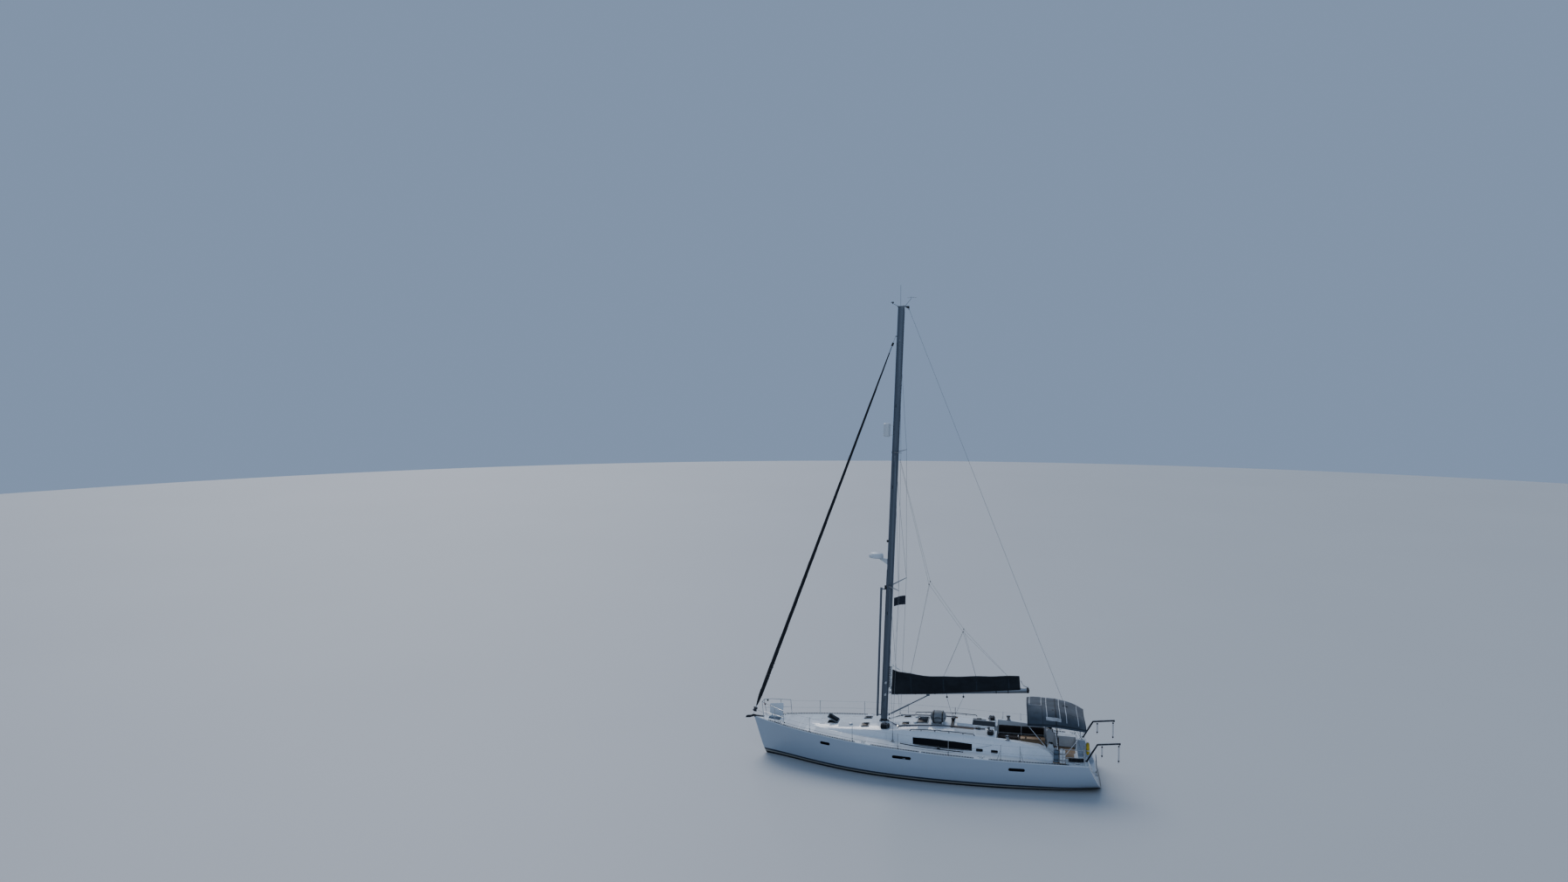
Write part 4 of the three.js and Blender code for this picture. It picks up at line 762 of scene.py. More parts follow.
def padGrid(shape, x0, x1, inner, outer, sign, lift):  # inner and outer give its edges along x
    count = max(3, round((x0 - x1) / 0.16))
    corner = deckPads["corner"]
    stations = [x0, x0 - corner * 0.3] + spaced(x0 - corner, x1 + corner, count) + [x1 + corner * 0.3, x1]
    insets = [corner, corner * 0.3, 0] + [0] * (count - 2) + [0, corner * 0.3, corner]
    rings = []
    for x, inset in zip(stations, insets):
        a, b = inner(x) + inset, outer(x) - inset
        ys = spaced(a, max(a + 0.02, b), 7)
        tops = [onTop(x, sign * y) for y in ys]
        rings.append([p + raised(lift) for p in tops] + [p - raised(0.004) for p in reversed(tops)])
    shape.skin(rings)


@bothSides
def makeDeckPads(side, sign):
    shape = Shape("nonSkid")
    outer = lambda x: abs(edgeOf(x, sign).y) - deckPads["toEdge"]
    for x0, x1 in deckPads["side"]:
        padGrid(shape, x0, x1, lambda x: between(roofFoot, x) + deckPads["toFoot"], outer, sign,
                deckPads["lift"])
    for x0, x1 in deckPads["fore"] + deckPads["aft"]:
        padGrid(shape, x0, x1, lambda x: 0.03 if x > 0 else 1.46, outer, sign, deckPads["lift"])
    for x0, x1, y0, y1 in deckPads["roof"]:
        padGrid(shape, x0, x1, lambda x: y0, lambda x: min(y1, between(roofEdge, x) - 0.06), sign,
                deckPads["lift"])
    shape.piece(f"anti_slip_{side}", slot="deck_paint")
    planks = Shape("teak")
    x0, x1, y0, y1 = deckPads["teak"]
    padGrid(planks, x0, x1, lambda x: y0, lambda x: y1, sign, 0.008)
    planks.piece(f"roof_teak_{side}", slot="teak")


# Cockpit teak: the sole, the seats and the floor beside the wheels
teakPads = {
    "sole": (-6.4, -3.25, 0.5), "soleZ": 0.8,
    "seat": (-5.19, -3.22, 0.54, 1.16), "seatZ": 1.21,
    "helm": (-6.46, -5.24, 0.54, 1.33),
    "thick": 0.008, "sunk": 0.002,
}


@atOnce
def makeCockpitTeak():
    shape = Shape("teak")
    x0, x1, half = teakPads["sole"]
    thick, sunk = teakPads["thick"], teakPads["sunk"]
    shape.block((x0, -half, teakPads["soleZ"] - sunk), (x1, half, teakPads["soleZ"] + thick), 0.003)
    for side, sign in sides:
        for key, level in (("seat", "seatZ"), ("helm", "soleZ")):
            x0, x1, inner, outer = teakPads[key]
            y0, y1 = sorted((sign * inner, sign * outer))
            shape.block((x0, y0, teakPads[level] - sunk), (x1, y1, teakPads[level] + thick), 0.003)
    shape.piece("cockpit_teak", slot="teak")


print("hull and deck dressed")

# Coachroof: small side windows, hand rails, hatch panes, vents, rope clutches and led-aft lines
smallWindows = {
    "places": [(-2.525, 1.392), (-3.135, 1.382)], "halfLong": 0.138, "halfTall": 0.054,
    "corner": 0.026, "rim": 0.011,
}


@bothSides
def makeSmallWindows(side, sign):
    shape = Shape("acrylic")
    for x, z in smallWindows["places"]:

        def outline(grow):
            shrink = min(grow, 0) * smallWindows["halfTall"]
            more = max(grow, 0)
            corner = max(0.004, smallWindows["corner"] + shrink * 0.35 + more)
            long, tall = smallWindows["halfLong"] + shrink, smallWindows["halfTall"] + shrink * 0.95
            return rounded(long + more, tall + more, corner)

        rimmed(shape, sideSkin, sign, x, z, outline, smallWindows["rim"], 0.008, "acrylic", "whitePlastic")
    shape.piece(f"small_windows_{side}", slot="tinted_acrylic")


handRail = {"from": 0.34, "to": -2.25, "inset": 0.035, "height": 0.055, "radius": 0.013, "feet": 6}


@bothSides
def makeHandRails(side, sign):
    shape = Shape("railAlloy")

    def base(x):
        return onTop(x, sign * (between(roofEdge, x) - handRail["inset"]))

    top = [base(x) + raised(handRail["height"]) for x in spaced(handRail["from"], handRail["to"], 22)]
    ends = [base(handRail["from"] + 0.05), base(handRail["to"] - 0.05)]
    shape.tube(curved([ends[0]] + top + [ends[1]], 2), handRail["radius"], 10)
    for x in spaced(handRail["from"] - 0.42, handRail["to"] + 0.42, handRail["feet"] - 2):
        shape.lathe([(0.024, -0.004), (0.022, 0.006), (0.011, 0.014),
                     (0.01, handRail["height"])], 12, base(x))
    for end in ends:
        shape.lathe([(0.026, -0.004), (0.025, 0.004), (0.016, 0.01), (0, 0.012)], 14, end)
    shape.piece(f"hand_rail_{side}", slot="black_plastic")


# Hatch panes lie in their frames; each rides on its lid
hatches = {
    "rows": [("forehatch_lid", "forehatch", (3.655, 0, 1.68081), 0.52, 0.56),
             ("hatch_port", "port_hatch", (2.235, 0.49, 1.78534), 0.34, 0.4),
             ("hatch_starboard", "starboard_hatch", (2.235, -0.49, 1.78534), 0.34, 0.4),
             ("hatch_saloon", "saloon_hatch", (-0.3, 0, 2.00966), 0.48, 0.82)],
    "edge": 0.036, "paneLow": 0.01, "paneHigh": 0.0185,
}


def lidFrame(node, pin):  # the lid's plane is read from the largest upper face of its own node
    upper = [polygon for polygon in cad[node].data.polygons if polygon.normal.z > 0.5]
    best = max(upper, key=lambda polygon: polygon.area).normal.copy()
    across = best.cross(Vector((1, 0, 0))).normalized()
    ahead = across.cross(best).normalized()
    return Matrix.Translation(pin) @ Matrix((ahead, across, best)).transposed().to_4x4()


@atOnce
def makeHatchPanes():
    edge, low, high = hatches["edge"], hatches["paneLow"], hatches["paneHigh"]
    for node, body, pin, length, width in hatches["rows"]:
        shape = Shape("acrylic")
        shape.frame = lidFrame(node, pin)
        outline = [(length / 2 + u, v) for u, v in rounded(length / 2 - edge, width / 2 - edge, 0.03)]
        shape.plate(outline, low, high, 0.003)
        shape.use("steel")
        for share in (-0.28, 0.28):  # catches inside the pane's front edge
            catch = [(0.018, high - 0.001), (0.018, high + 0.004), (0.012, high + 0.006), (0, high + 0.006)]
            shape.lathe(catch, 14, (length - edge - 0.035, width * share, 0))
        shape.piece(f"pane_{body}", body, "tinted_acrylic")


fixedHatch = {"centre": (0.65, 0.45), "half": (0.15, 0.14), "rim": 0.03, "height": 0.022}
vents = {"mushrooms": [(0.25, 0.36), (0.25, -0.36), (3.05, 0.42)], "radius": 0.085, "height": 0.075,
         "dome": [(0.55, 0.5), (1, 0.5), (1.02, 0.62), (0.85, 0.88), (0.4, 1), (0, 1)]}


def roofTilt(x, y, reach=0.12):  # a frame that lies on the roof
    ahead = onTop(x + reach, y) - onTop(x - reach, y)
    across = onTop(x, y + reach) - onTop(x, y - reach)
    up = ahead.cross(across).normalized()
    across = up.cross(ahead.normalized())
    return Matrix.Translation(onTop(x, y)) @ Matrix((ahead.normalized(), across, up)).transposed().to_4x4()


@atOnce
def makeRoofFittings():
    shape = Shape("whitePlastic")
    for sign in (1, -1):
        x, y = fixedHatch["centre"]
        shape.frame = roofTilt(x, sign * y)
        (halfX, halfY), rim, top = fixedHatch["half"], fixedHatch["rim"], fixedHatch["height"]
        shape.use("whitePlastic").plate(rounded(halfX + rim, halfY + rim, 0.04), -0.03, top, 0.006)
        shape.use("acrylic").plate(rounded(halfX, halfY, 0.025), top - 0.002, top + 0.006, 0.003)
    for x, y in vents["mushrooms"]:
        shape.frame = roofTilt(x, y, 0.05)
        r, h = vents["radius"], vents["height"]
        cap = [(r * 0.75, -0.01), (r * 0.75, 0.012), (r * 0.55, 0.02)]
        cap += [(r * a, h * b) for a, b in vents["dome"]]
        shape.use("whitePlastic").lathe(cap, 28)
    shape.at().piece("roof_vents", slot="white_plastic")


ledLines = {
    "finishes": ["ropeNavy", "ropeGrey", "ropeNavy", "ropeRed"],
    "start": (1.42, 0.2), "organiser": (0.95, 0.72), "clutch": (-2.42, 0.6),
    "pitch": 0.032, "radius": 0.0075, "clutchSize": (0.2, 0.03, 0.055),
}


@bothSides
def makeLedLines(side, sign):
    gear = Shape("black")
    for k, finish in enumerate(ledLines["finishes"]):
        offset = (k - 1.5) * ledLines["pitch"]
        line = Shape(finish)
        ox, oy = ledLines["organiser"]
        cx, cy = ledLines["clutch"]
        sx, sy = ledLines["start"]
        spots = [(sx - 0.03 * k, sign * (sy + offset), 0.03), (ox, sign * (oy + offset), 0.03)]
        for x in spaced(ox - 0.25, cx + 0.1, 10):
            spots.append((x, sign * (oy + offset + (cy - oy) * (ox - x) / (ox - cx)), 0.022))
        spots += [(cx - 0.3, sign * (cy + offset), 0.03)]
        path = [onTop(x, y) + raised(up) for x, y, up in spots]
        line.tube(curved(path, 3), ledLines["radius"], 8)
        line.piece(f"led_line_{side}_{k + 1}", slot="grey_canvas")
        long, half, tall = ledLines["clutchSize"]
        gear.frame = roofTilt(cx, sign * (cy + offset), 0.05)
        gear.use("black").block((-long / 2, -half / 2, -0.004), (long / 2, half / 2, tall), 0.005)
        wide = half / 2 - 0.004
        gear.use("greyPlastic").block((-long / 2 + 0.01, -wide, tall - 0.004),
                                      (0.03, wide, tall + 0.018), 0.005)
    gear.frame = roofTilt(ledLines["organiser"][0], sign * ledLines["organiser"][1], 0.05)
    gear.use("steel").plate(rounded(0.04, 0.085, 0.02), 0, 0.006, 0.001)
    for k in range(4):
        roller = [(0.019, 0.006), (0.016, 0.018), (0.016, 0.034), (0.019, 0.044)]
        gear.use("black").lathe(roller, 16, (0, (k - 1.5) * 0.038, 0))
    gear.use("steel").plate(rounded(0.04, 0.085, 0.02), 0.044, 0.05, 0.001)
    gear.at().piece(f"rope_clutches_{side}", slot="black_plastic")


# Winches: the two main ones replace their plain solids, two small ones stand on the roof
winches = {
    "main": (-3.65, 1.3, 1.815, 0.095, 0.2), "roof": (-2.86, 0.62, 0.068, 0.15),
    # profiles in shares of the radius and of the height
    "base": [(1, 0), (1, 0.06), (0.94, 0.1), (0.8, 0.11)],
    "drum": [(0, 0.1), (0.88, 0.1), (0.86, 0.2), (0.66, 0.27), (0.62, 0.4), (0.62, 0.62), (0.72, 0.7),
             (0.74, 0.73), (0, 0.73)],
    "jaws": [(0.5, 0.73), (0.86, 0.735), (0.88, 0.765), (0.62, 0.8), (0.62, 0.84), (0.88, 0.875),
             (0.86, 0.905), (0.5, 0.91)],
    "socket": [(0.56, 0.905), (0.54, 0.97), (0.46, 1), (0.17, 1), (0.17, 0.93), (0, 0.93)],
    "arm": [(0.5, 0.92), (0.86, 0.92), (0.93, 0.84), (0.8, 0.76)], "ribs": 20,
}


def winchShape(shape, foot, radius, height):
    shape.at(foot)
    for part, finish, edges in (("base", "black", 40), ("drum", "steel", 40)):
        shape.use(finish).lathe([(radius * a, height * b) for a, b in winches[part]], edges)
    out = radius * 0.655
    for angle in circle(winches["ribs"]):  # grip ribs round the drum, each leaning a little
        rib = [(angle + share * 0.15, height * (0.29 + 0.36 * share)) for share in (0, 0.5, 1)]
        shape.tube([(out * cos(a), out * sin(a), z) for a, z in rib], radius * 0.035, 5)
    for part, finish, edges in (("jaws", "black", 40), ("socket", "steel", 32)):
        shape.use(finish).lathe([(radius * a, height * b) for a, b in winches[part]], edges)
    shape.tube(curved([(radius * a, 0, height * b) for a, b in winches["arm"]], 4), radius * 0.075, 8)
    shape.at()


@bothSides
def makeWinches(side, sign):
    x, y, z, radius, height = winches["main"]
    main = Shape("steel")
    winchShape(main, (x, sign * y, z), radius * 0.985, height)
    main.use("gelcoat").lathe([(radius, -0.07), (radius, -0.004), (radius * 0.96, 0), (0, 0)], 36,
                              (x, sign * y, z))
    main.piece(f"sheet_winch_{side}", slot="steel", stands=(f"winch_{side}",))
    x, y, radius, height = winches["roof"]
    small = Shape("steel")
    foot = onTop(x, sign * y) - raised(0.004)
    winchShape(small, foot, radius, height)
    small.piece(f"roof_winch_{side}", slot="steel")


# Genoa tracks and cars on the side decks
tracks = {"from": 0.75, "to": -1.85, "foot": 0.17, "width": 0.032, "car": -0.85,
          # share of its half width, height
          "section": [(1, 0), (1, 0.006), (0.35, 0.008), (0.35, 0.014), (0.9, 0.016), (0.9, 0.022)]}


@bothSides
def makeTracks(side, sign):
    shape = Shape("railAlloy")
    half = tracks["width"] / 2

    def line(x):
        y = between(roofFoot, x) + tracks["foot"]
        return onTop(x, sign * y)

    def section(x):
        c = line(x)
        spots = [(-half * share, z) for share, z in tracks["section"]]
        spots += [(-u, v) for u, v in reversed(spots)]
        return [c + Vector((0, u, v)) for u, v in spots]

    shape.skin([section(x) for x in spaced(tracks["from"], tracks["to"], 24)])
    for end in ("from", "to"):
        shape.use("black").at(line(tracks[end]))
        shape.block((-0.022, -half - 0.004, -0.002), (0.022, half + 0.004, 0.03), 0.006)
    car = line(tracks["car"])
    shape.at(car).use("black").block((-0.075, -0.032, 0.01), (0.075, 0.032, 0.046), 0.008)
    bow = [(-0.05, 0, 0.04), (-0.035, 0, 0.085), (0.035, 0, 0.085), (0.05, 0, 0.04)]
    shape.use("steel").tube(curved(bow, 5), 0.006, 8)
    wheel = [(0, -0.02), (0.04, -0.02), (0.044, -0.014), (0.032, 0), (0.044, 0.014), (0.04, 0.02),
             (0, 0.02)]
    shape.use("black").lathe(wheel, 24, (0, 0, 0.105), (0, 1, 0))
    shape.at().piece(f"sheet_track_{side}", slot="black_plastic")


print("coachroof dressed")

# The furled foresail on its foil: a wound sail, its drum, swivel and wraps of sheet
foresail = {
    "foot": (7.56, 0, 1.7), "top": (1.196, 0, 18.56), "pitch": 1.25, "points": 28, "step": 0.05,
    "radii": [(0.46, 0.031), (0.6, 0.05), (0.95, 0.089), (2.6, 0.091), (4, 0.086), (9.5, 0.069),
              (15.1, 0.045), (17.28, 0.023)],
    # radius and distance along the foil
    "drum": [(0.03, 0.185), (0.098, 0.185), (0.1, 0.19), (0.098, 0.196), (0.05, 0.204), (0.05, 0.306),
             (0.098, 0.314), (0.1, 0.32), (0.098, 0.326), (0.03, 0.332)],
    "swivel": [(0.012, 17.575), (0.04, 17.58), (0.045, 17.6), (0.045, 17.64), (0.034, 17.645),
               (0.034, 17.655), (0.045, 17.66), (0.045, 17.71), (0.038, 17.728), (0.012, 17.73)],
}


@atOnce
def makeForesail():
    way = (Vector(foresail["top"]) - Vector(foresail["foot"])).normalized()
    place = Matrix.Translation(foresail["foot"]) @ raised(1).rotation_difference(way).to_matrix().to_4x4()
    shape = Shape("genoaCloth")
    shape.frame = place
    low, high = foresail["radii"][0][0], foresail["radii"][-1][0]
    rings, count = [], foresail["points"]
    for s in spaced(low, high, round((high - low) / foresail["step"])):
        radius = between(foresail["radii"], s)
        ring = []
        for i in range(count):
            share = i / (count - 1)
            angle = 2 * pi * (share - s / foresail["pitch"])
            spot = Vector((cos(angle), sin(angle), 0)) * 1.5 + raised(s * 2.2)
            crease = noise.noise(spot * 1.6) * 0.05 + noise.noise(spot * 5) * 0.02
            out = radius * (0.89 + 0.09 * share + crease)
            ring.append((out * cos(angle), out * sin(angle), s))
        rings.append(ring)
    shape.skin(rings)
    shape.use("ropeGrey")
    for start, turns, end in ((1.75, 3, 2.15), (2.3, 2, 2.7)):  # the sheets, taken round the roll
        steps = turns * 18
        wrap = []
        for i in range(steps + 1):
            s = start + (end - start) * i / steps
            out = between(foresail["radii"], s) + 0.004
            angle = 2 * pi * turns * i / steps + 1.2
            wrap.append((out * cos(angle), out * sin(angle), s))
        shape.tube(wrap, 0.0065, 6)
    shape.piece("furled_foresail_roll", "furled_foresail", "dark_canvas", ("genoa_furled",), sharp=50)
    gear = Shape("black")
    gear.frame = place
    gear.lathe(foresail["drum"], 40)
    gear.use("ropeNavy")
    for k in range(6):
        z = 0.214 + k * 0.0155
        gear.tube([(0.063 * cos(a), 0.063 * sin(a), z) for a in circle(28)], 0.0085, 8, True)
    gear.use("steel").lathe([(0.012, 0.33), (0.027, 0.332), (0.026, 0.42), (0.02, 0.47), (0.012, 0.475)], 24)
    gear.use("mastAlloy").lathe([(0.0105, 0.4), (0.015, 0.4), (0.015, 17.56), (0.0105, 17.56)], 16)
    gear.use("black").lathe(foresail["swivel"], 28)
    gear.use("steel").tube(curved([(0.038, 0, 17.59), (0.034, 0, 17.46), (0.016, 0, 17.3)], 4), 0.004, 6)
    gear.piece("furling_gear", "furled_foresail", "black_plastic")


furlingLine = {
    "drum": (7.36, 0.055, 1.93), "bow": (6.42, 0.42, 1.7), "posts": [5.95, 4.73, 2.77, 0.81, -1.29],
    "inset": 0.095, "height": 0.1, "end": (-3.02, 1.47), "sag": 0.035,
    "fairlead": [(0.009, -0.014), (0.022, -0.014), (0.024, -0.008), (0.016, 0), (0.024, 0.008),
                 (0.022, 0.014), (0.009, 0.014)],
}


def hanging(a, b, sag, count):  # a slack line between two points
    long = (a - b).length
    return [a.lerp(b, t) - raised(sag * long * t * (1 - t)) for t in spaced(0, 1, count)]


@atOnce
def makeFurlingLine():
    line = Shape("ropeNavy")
    blocks = Shape("black")
    spots = [Vector(furlingLine["drum"]), Vector(furlingLine["bow"])]
    for x in furlingLine["posts"]:
        y = edgeOf(x, 1).y - furlingLine["inset"]
        spots.append(Vector((x, y, onTop(x, y).z + furlingLine["height"])))
    spots.append(onTop(*furlingLine["end"]) + raised(0.05))
    path = []
    for a, b in zip(spots, spots[1:]):
        path += hanging(a, b, furlingLine["sag"], 9)[:-1]
    line.tube(path + [spots[-1]], 0.0045, 6)
    line.piece("furling_line", slot="dark_canvas")
    for spot in spots[2:-1]:
        blocks.lathe(furlingLine["fairlead"], 18, spot - raised(0.004), (0, 1, 0))
        blocks.box(spot, (-0.012, -0.018, -0.03), (0.012, 0.018, -0.018))
    blocks.piece("furling_fairleads", slot="black_plastic")


print("foresail furled")

# Boom gear: everything is placed along the boom, from its pin aft
boom = {"pin": (1.39, 0, 3.11), "end": (-4.43, 0, 3.57), "halfHeight": 0.11, "halfWidth": 0.075}
boomWay = (Vector(boom["end"]) - Vector(boom["pin"])).normalized()
boomUp = Vector((boomWay.z, 0, -boomWay.x))
boomLong = (Vector(boom["end"]) - Vector(boom["pin"])).length


def onBoom(distance, side, up):
    return Vector(boom["pin"]) + boomWay * distance + boomUp * up + Vector((0, side, 0))


sailBag = {
    # distance from the pin, height of the top, half width, height of the foot
    "rows": [(0.064, 1.04, 0.06, -0.06), (0.64, 0.88, 0.15, -0.06), (1.86, 0.69, 0.17, -0.06),
             (3.6, 0.655, 0.16, -0.02), (5.56, 0.64, 0.13, 0.05)],
    "section": [(0.55, 0), (0.88, 0.08), (1, 0.22), (0.98, 0.4), (0.8, 0.58), (0.52, 0.74), (0.34, 0.88),
                (0.2, 0.985)],
    "lean": 0.12, "stations": 150, "seams": [0.72, 1.46, 2.25, 3.05, 3.85, 4.62, 5.3],
    "hangs": [0.95, 2.35, 3.75, 5.1], "steps": 5, "droop": 0.02,
    "zip": [(0.018, 0), (0.014, 0.007), (0.003, 0.008), (0.002, 0.004), (-0.002, 0.004), (-0.003, 0.008),
            (-0.014, 0.007), (-0.018, 0), (0, -0.008)],
}


def smoothRead(rows, s, column):  # reads one column of a table along a smooth curve
    path = curved([(r[0], r[column], 0) for r in rows], 8)
    return between([(p.x, p.y) for p in path], s)


def makeSailBag():
    rows, section = sailBag["rows"], sailBag["section"]
    half = curved([(u, v, 0) for u, v in section], sailBag["steps"])
    outline = [(p.x, p.y) for p in half] + [(-p.x, p.y) for p in reversed(half)]
    start, end = rows[0][0], rows[-1][0]
    shape = Shape("bagCloth")

    def spot(s, u, v, out=0, lifted=0):
        top, wide, low = smoothRead(rows, s, 1), smoothRead(rows, s, 2), smoothRead(rows, s, 3)
        near = min(abs(s - h) for h in sailBag["hangs"])
        sag = sailBag["droop"] * min(1, near / 0.55) ** 1.5
        fold = wave(s * 2, u * 1.2, v * 2.6) + 0.5 * wave(s * 5.5, u * 2, v * 7)
        pulls = sin(s * 3.3 + v * 5) * 0.3
        seam = max(0, 1 - min(abs(s - m) for m in sailBag["seams"]) / 0.014)
        loose = sin(pi * min(1, max(0, v * 1.15))) ** 0.7
        inward = (0.01 + 0.01 * fold + 0.006 * pulls) * loose + 0.004 * seam
        up = low + (top - sag - low) * v
        above = min(0.999, abs(up) / (boom["halfHeight"] + 0.006))
        hug = (boom["halfWidth"] + 0.006) * sqrt(1 - above**2) if abs(u) > 0.4 else 0
        lean = sailBag["lean"] * up * max(0, 1 - (s - start) / 0.35)
        side = u * wide
        side -= copysign(min(abs(side) * 0.8, inward - out), side) if abs(side) > 1e-5 else 0
        side = copysign(max(abs(side), hug + out), side) if hug else side
        return onBoom(s + lean, side, up + lifted)

    seamStations = [m + d for m in sailBag["seams"] for d in (-0.014, 0, 0.014)]
    stations = sorted(spaced(start, end, sailBag["stations"]) + seamStations)
    shape.skin([[spot(s, u, v) for u, v in outline] for s in stations])
    for sign in (1, -1):  # the batten sleeves along the top edges and the flaps beside the zip
        shape.use("bagCloth")
        upper = [(s, 0.3 * sign, 0.915) for s in spaced(start + 0.1, end - 0.1, 70)]
        shape.tube([spot(s, u, v, 0.006) for s, u, v in upper], 0.011, 8)
        lower = [(s, 0.7 * sign, 0.03) for s in spaced(start + 0.05, end - 0.05, 60)]
        shape.tube([spot(s, u, v, 0.004) for s, u, v in lower], 0.008, 6)
    rail = []
    for s in spaced(start + 0.04, end - 0.03, 90):
        crest = spot(s, 0, 0.985)
        rail.append([crest + Vector((0, y, z)) for y, z in sailBag["zip"]])
    shape.use("hemCloth").skin(rail)
    widths = [(b, a) for a, b in section]
    for s in sailBag["hangs"]:  # sewn webbing down each side, with the eye that the lazy jack takes
        for sign in (1, -1):
            strip = []
            for v in spaced(0.03, 0.93, 26):
                u = between(widths, v) * sign
                a, b = spot(s - 0.022, u, v, 0.007), spot(s + 0.022, u, v, 0.007)
                inner = Vector((0, -sign * 0.005, 0))
                strip.append([a, b, b + inner, a + inner])
            shape.use("hemCloth").skin(strip)
            eye = spot(s, between(widths, 0.93) * sign, 0.93, 0.012)
            shape.use("steel").tube(hoop(eye, Vector((0.016, 0, 0)), raised(0.016), 14), 0.0035, 6, True)
    made = shape.piece("sail_bag_cloth", "boom_and_bag", "dark_canvas", ("sail_bag",), sharp=44)
    return spot


bagSpot = makeSailBag()

sailHead = {"half": 0.055, "flat": 0.4, "foot": 3.27, "stack": 0.98, "luffCars": (10, 3.34, 0.094)}


@atOnce
def makeSailHead():
    # the luff of the flaked sail stands in a stack between the mast and the bag, its head on top
    shape = Shape("sailCloth")
    mastAft = lambda z: 1.65 - 0.0385 * (z - 1.846) - 0.14  # the mast's after face
    for sign in (1, -1):

        def spot(u, v):
            z = sailHead["foot"] + sailHead["stack"] * v
            x = mastAft(z) - 0.05 - 0.055 * u - 0.01 * sin(v * 34)
            folds = sailHead["half"] * (0.6 + 0.4 * sin(v * 29 + sign))
            return (x, sign * (0.01 + folds * sin(pi * (0.15 + 0.8 * u))), z)

        shape.cloth(spot, 10, 90, 0.003)

    def head(u, v):
        x = 1.28 - 0.92 * v
        y = 0.075 * (u - 0.5) * (1 - 0.55 * v)
        crest = bagSpot(max(0.09, 1.39 - x), 0, 0.985).z
        z = crest + 0.022 + 0.2 * (1 - v) ** 2.2 - 0.1 * (u - 0.5) ** 2 * (1 - v)
        return (x, y, z + 0.006 * sin(v * 22 + u * 5))

    shape.cloth(head, 8, 44, 0.003)
    made = shape.piece("sail_head", body=None, sharp=60)  # the luff stays on the mast, the rest swings
    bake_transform(made)
    cars = Shape("black")
    count, first, step = sailHead["luffCars"]
    for k in range(count):
        z = first + k * step
        x = mastAft(z)
        cars.block((x - 0.045, -0.02, z), (x - 0.004, 0.02, z + 0.07), 0.006)
    cars.piece("sail_cars", slot="black_plastic")


def aroundBoom(distance, grow):
    wide, tall = boom["halfWidth"] + grow, boom["halfHeight"] + grow
    return [onBoom(distance, wide * sin(a), tall * cos(a)) for a in circle(28)]


boomGear = {
    "bails": [2.45, 3.15], "straps": [4.55, 5.05, 0.3, 1.1, 1.95], "strapWidth": 0.04, "block": 0.042,
    "bailTop": -0.178,
    "shackle": [(0, -0.016), (0.019, 0), (0.012, 0.03), (0, 0.036), (-0.012, 0.03), (-0.019, 0)],
    "cap": [(-0.012, 0), (-0.012, 0.006), (0.055, 0.006), (0.075, -0.006), (0.08, -0.02)],
    "bow": [(0.02, 0.03, 0.1), (0.05, 0.03, 0.16), (0.05, -0.03, 0.16), (0.02, -0.03, 0.1)],
}


def sheave(shape, spot, radius, wide, waist, edges):
    shape.lathe([(0, -wide), (radius, -wide), (waist, 0), (radius, wide), (0, wide)], edges, spot, (0, 1, 0))


def blockAt(shape, spot, radius, wide=0.014):
    sheave(shape.use("greyPlastic"), spot, radius, wide * 0.7, radius * 0.82, 22)
    cheek = [(0, 0.72), (0.9, 0.72), (0.8, 1.15), (0.3, 1.25), (0, 1.25)]
    for sign in (1, -1):
        shape.use("black").lathe([(radius * a, wide * b) for a, b in cheek], 22, spot, (0, sign, 0))


def makeBoomGear():
    shape = Shape("black")
    shape.skin([aroundBoom(boomLong + d, grow) for d, grow in boomGear["cap"]])
    half = boomGear["strapWidth"] / 2
    for distance in boomGear["straps"]:
        rings = [aroundBoom(distance + d, grow) for d, grow in
                 ((-half, 0.0005), (-half, 0.004), (half, 0.004), (half, 0.0005))]
        shape.use("hemCloth").skin(rings, True)
    for distance in boomGear["bails"]:
        blockAt(shape, onBoom(distance, 0, boomGear["bailTop"] - 0.062), boomGear["block"])
        shackle = [onBoom(distance, y, boomGear["bailTop"] - z) for y, z in boomGear["shackle"]]
        shape.use("steel").tube(curved(shackle, 3, True), 0.004, 6, True)
    for y in (-0.03, 0, 0.03):  # sheaves for the outhaul and reefs at the boom's end
        sheave(shape.use("greyPlastic"), onBoom(boomLong + 0.06, y, 0), 0.036, 0.006, 0.03, 20)
    bow = [onBoom(boomLong + d, y, z) for d, y, z in boomGear["bow"]]
    shape.use("steel").tube(curved(bow, 4), 0.006, 8)
    shape.use("ropeGrey")
    for d, y in ((5.62, 0.018), (5.59, -0.018)):  # clew and reef lines up the leech end of the bag
        path = [onBoom(boomLong + 0.045, y, 0.118), onBoom(5.7, y, 0.22), onBoom(d, y * 2, 0.42)]
        shape.tube(curved(path, 6), 0.006, 8)
    shape.piece("boom_gear", "boom_and_bag", "black_plastic")


def makeMainsheet():
    shape = Shape("ropeWhite")
    low = Vector((-1.34, 0, 2.125))
    for distance, dx in zip(boomGear["bails"], (0.02, -0.02)):
        for y in (-0.018, 0.018):
            a, b = low + Vector((dx, y, 0.03)), onBoom(distance, 0, -0.24) + Vector((0, y * 0.6, -0.03))
            shape.tube([a.lerp(b, t) for t in spaced(0, 1, 16)], 0.0055, 7)
    made = shape.piece("mainsheet_falls", body=None)
    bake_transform(made)
    blocks = Shape("black")
    for x in (-1.385, -1.295):
        blockAt(blocks, Vector((x, 0, 2.135)), 0.036)
    blocks.use("black").block((-1.41, -0.035, 2.09), (-1.27, 0.035, 2.115), 0.006)
    blocks.piece("mainsheet_blocks", slot="black_plastic")


makeBoomGear()
makeMainsheet()

lazyJacks = {"mast": (0.99, 0.085, 13.3), "first": (-0.3, 0.3, 8), "second": (-1.75, 0.26, 6),
             "radius": 0.0035}


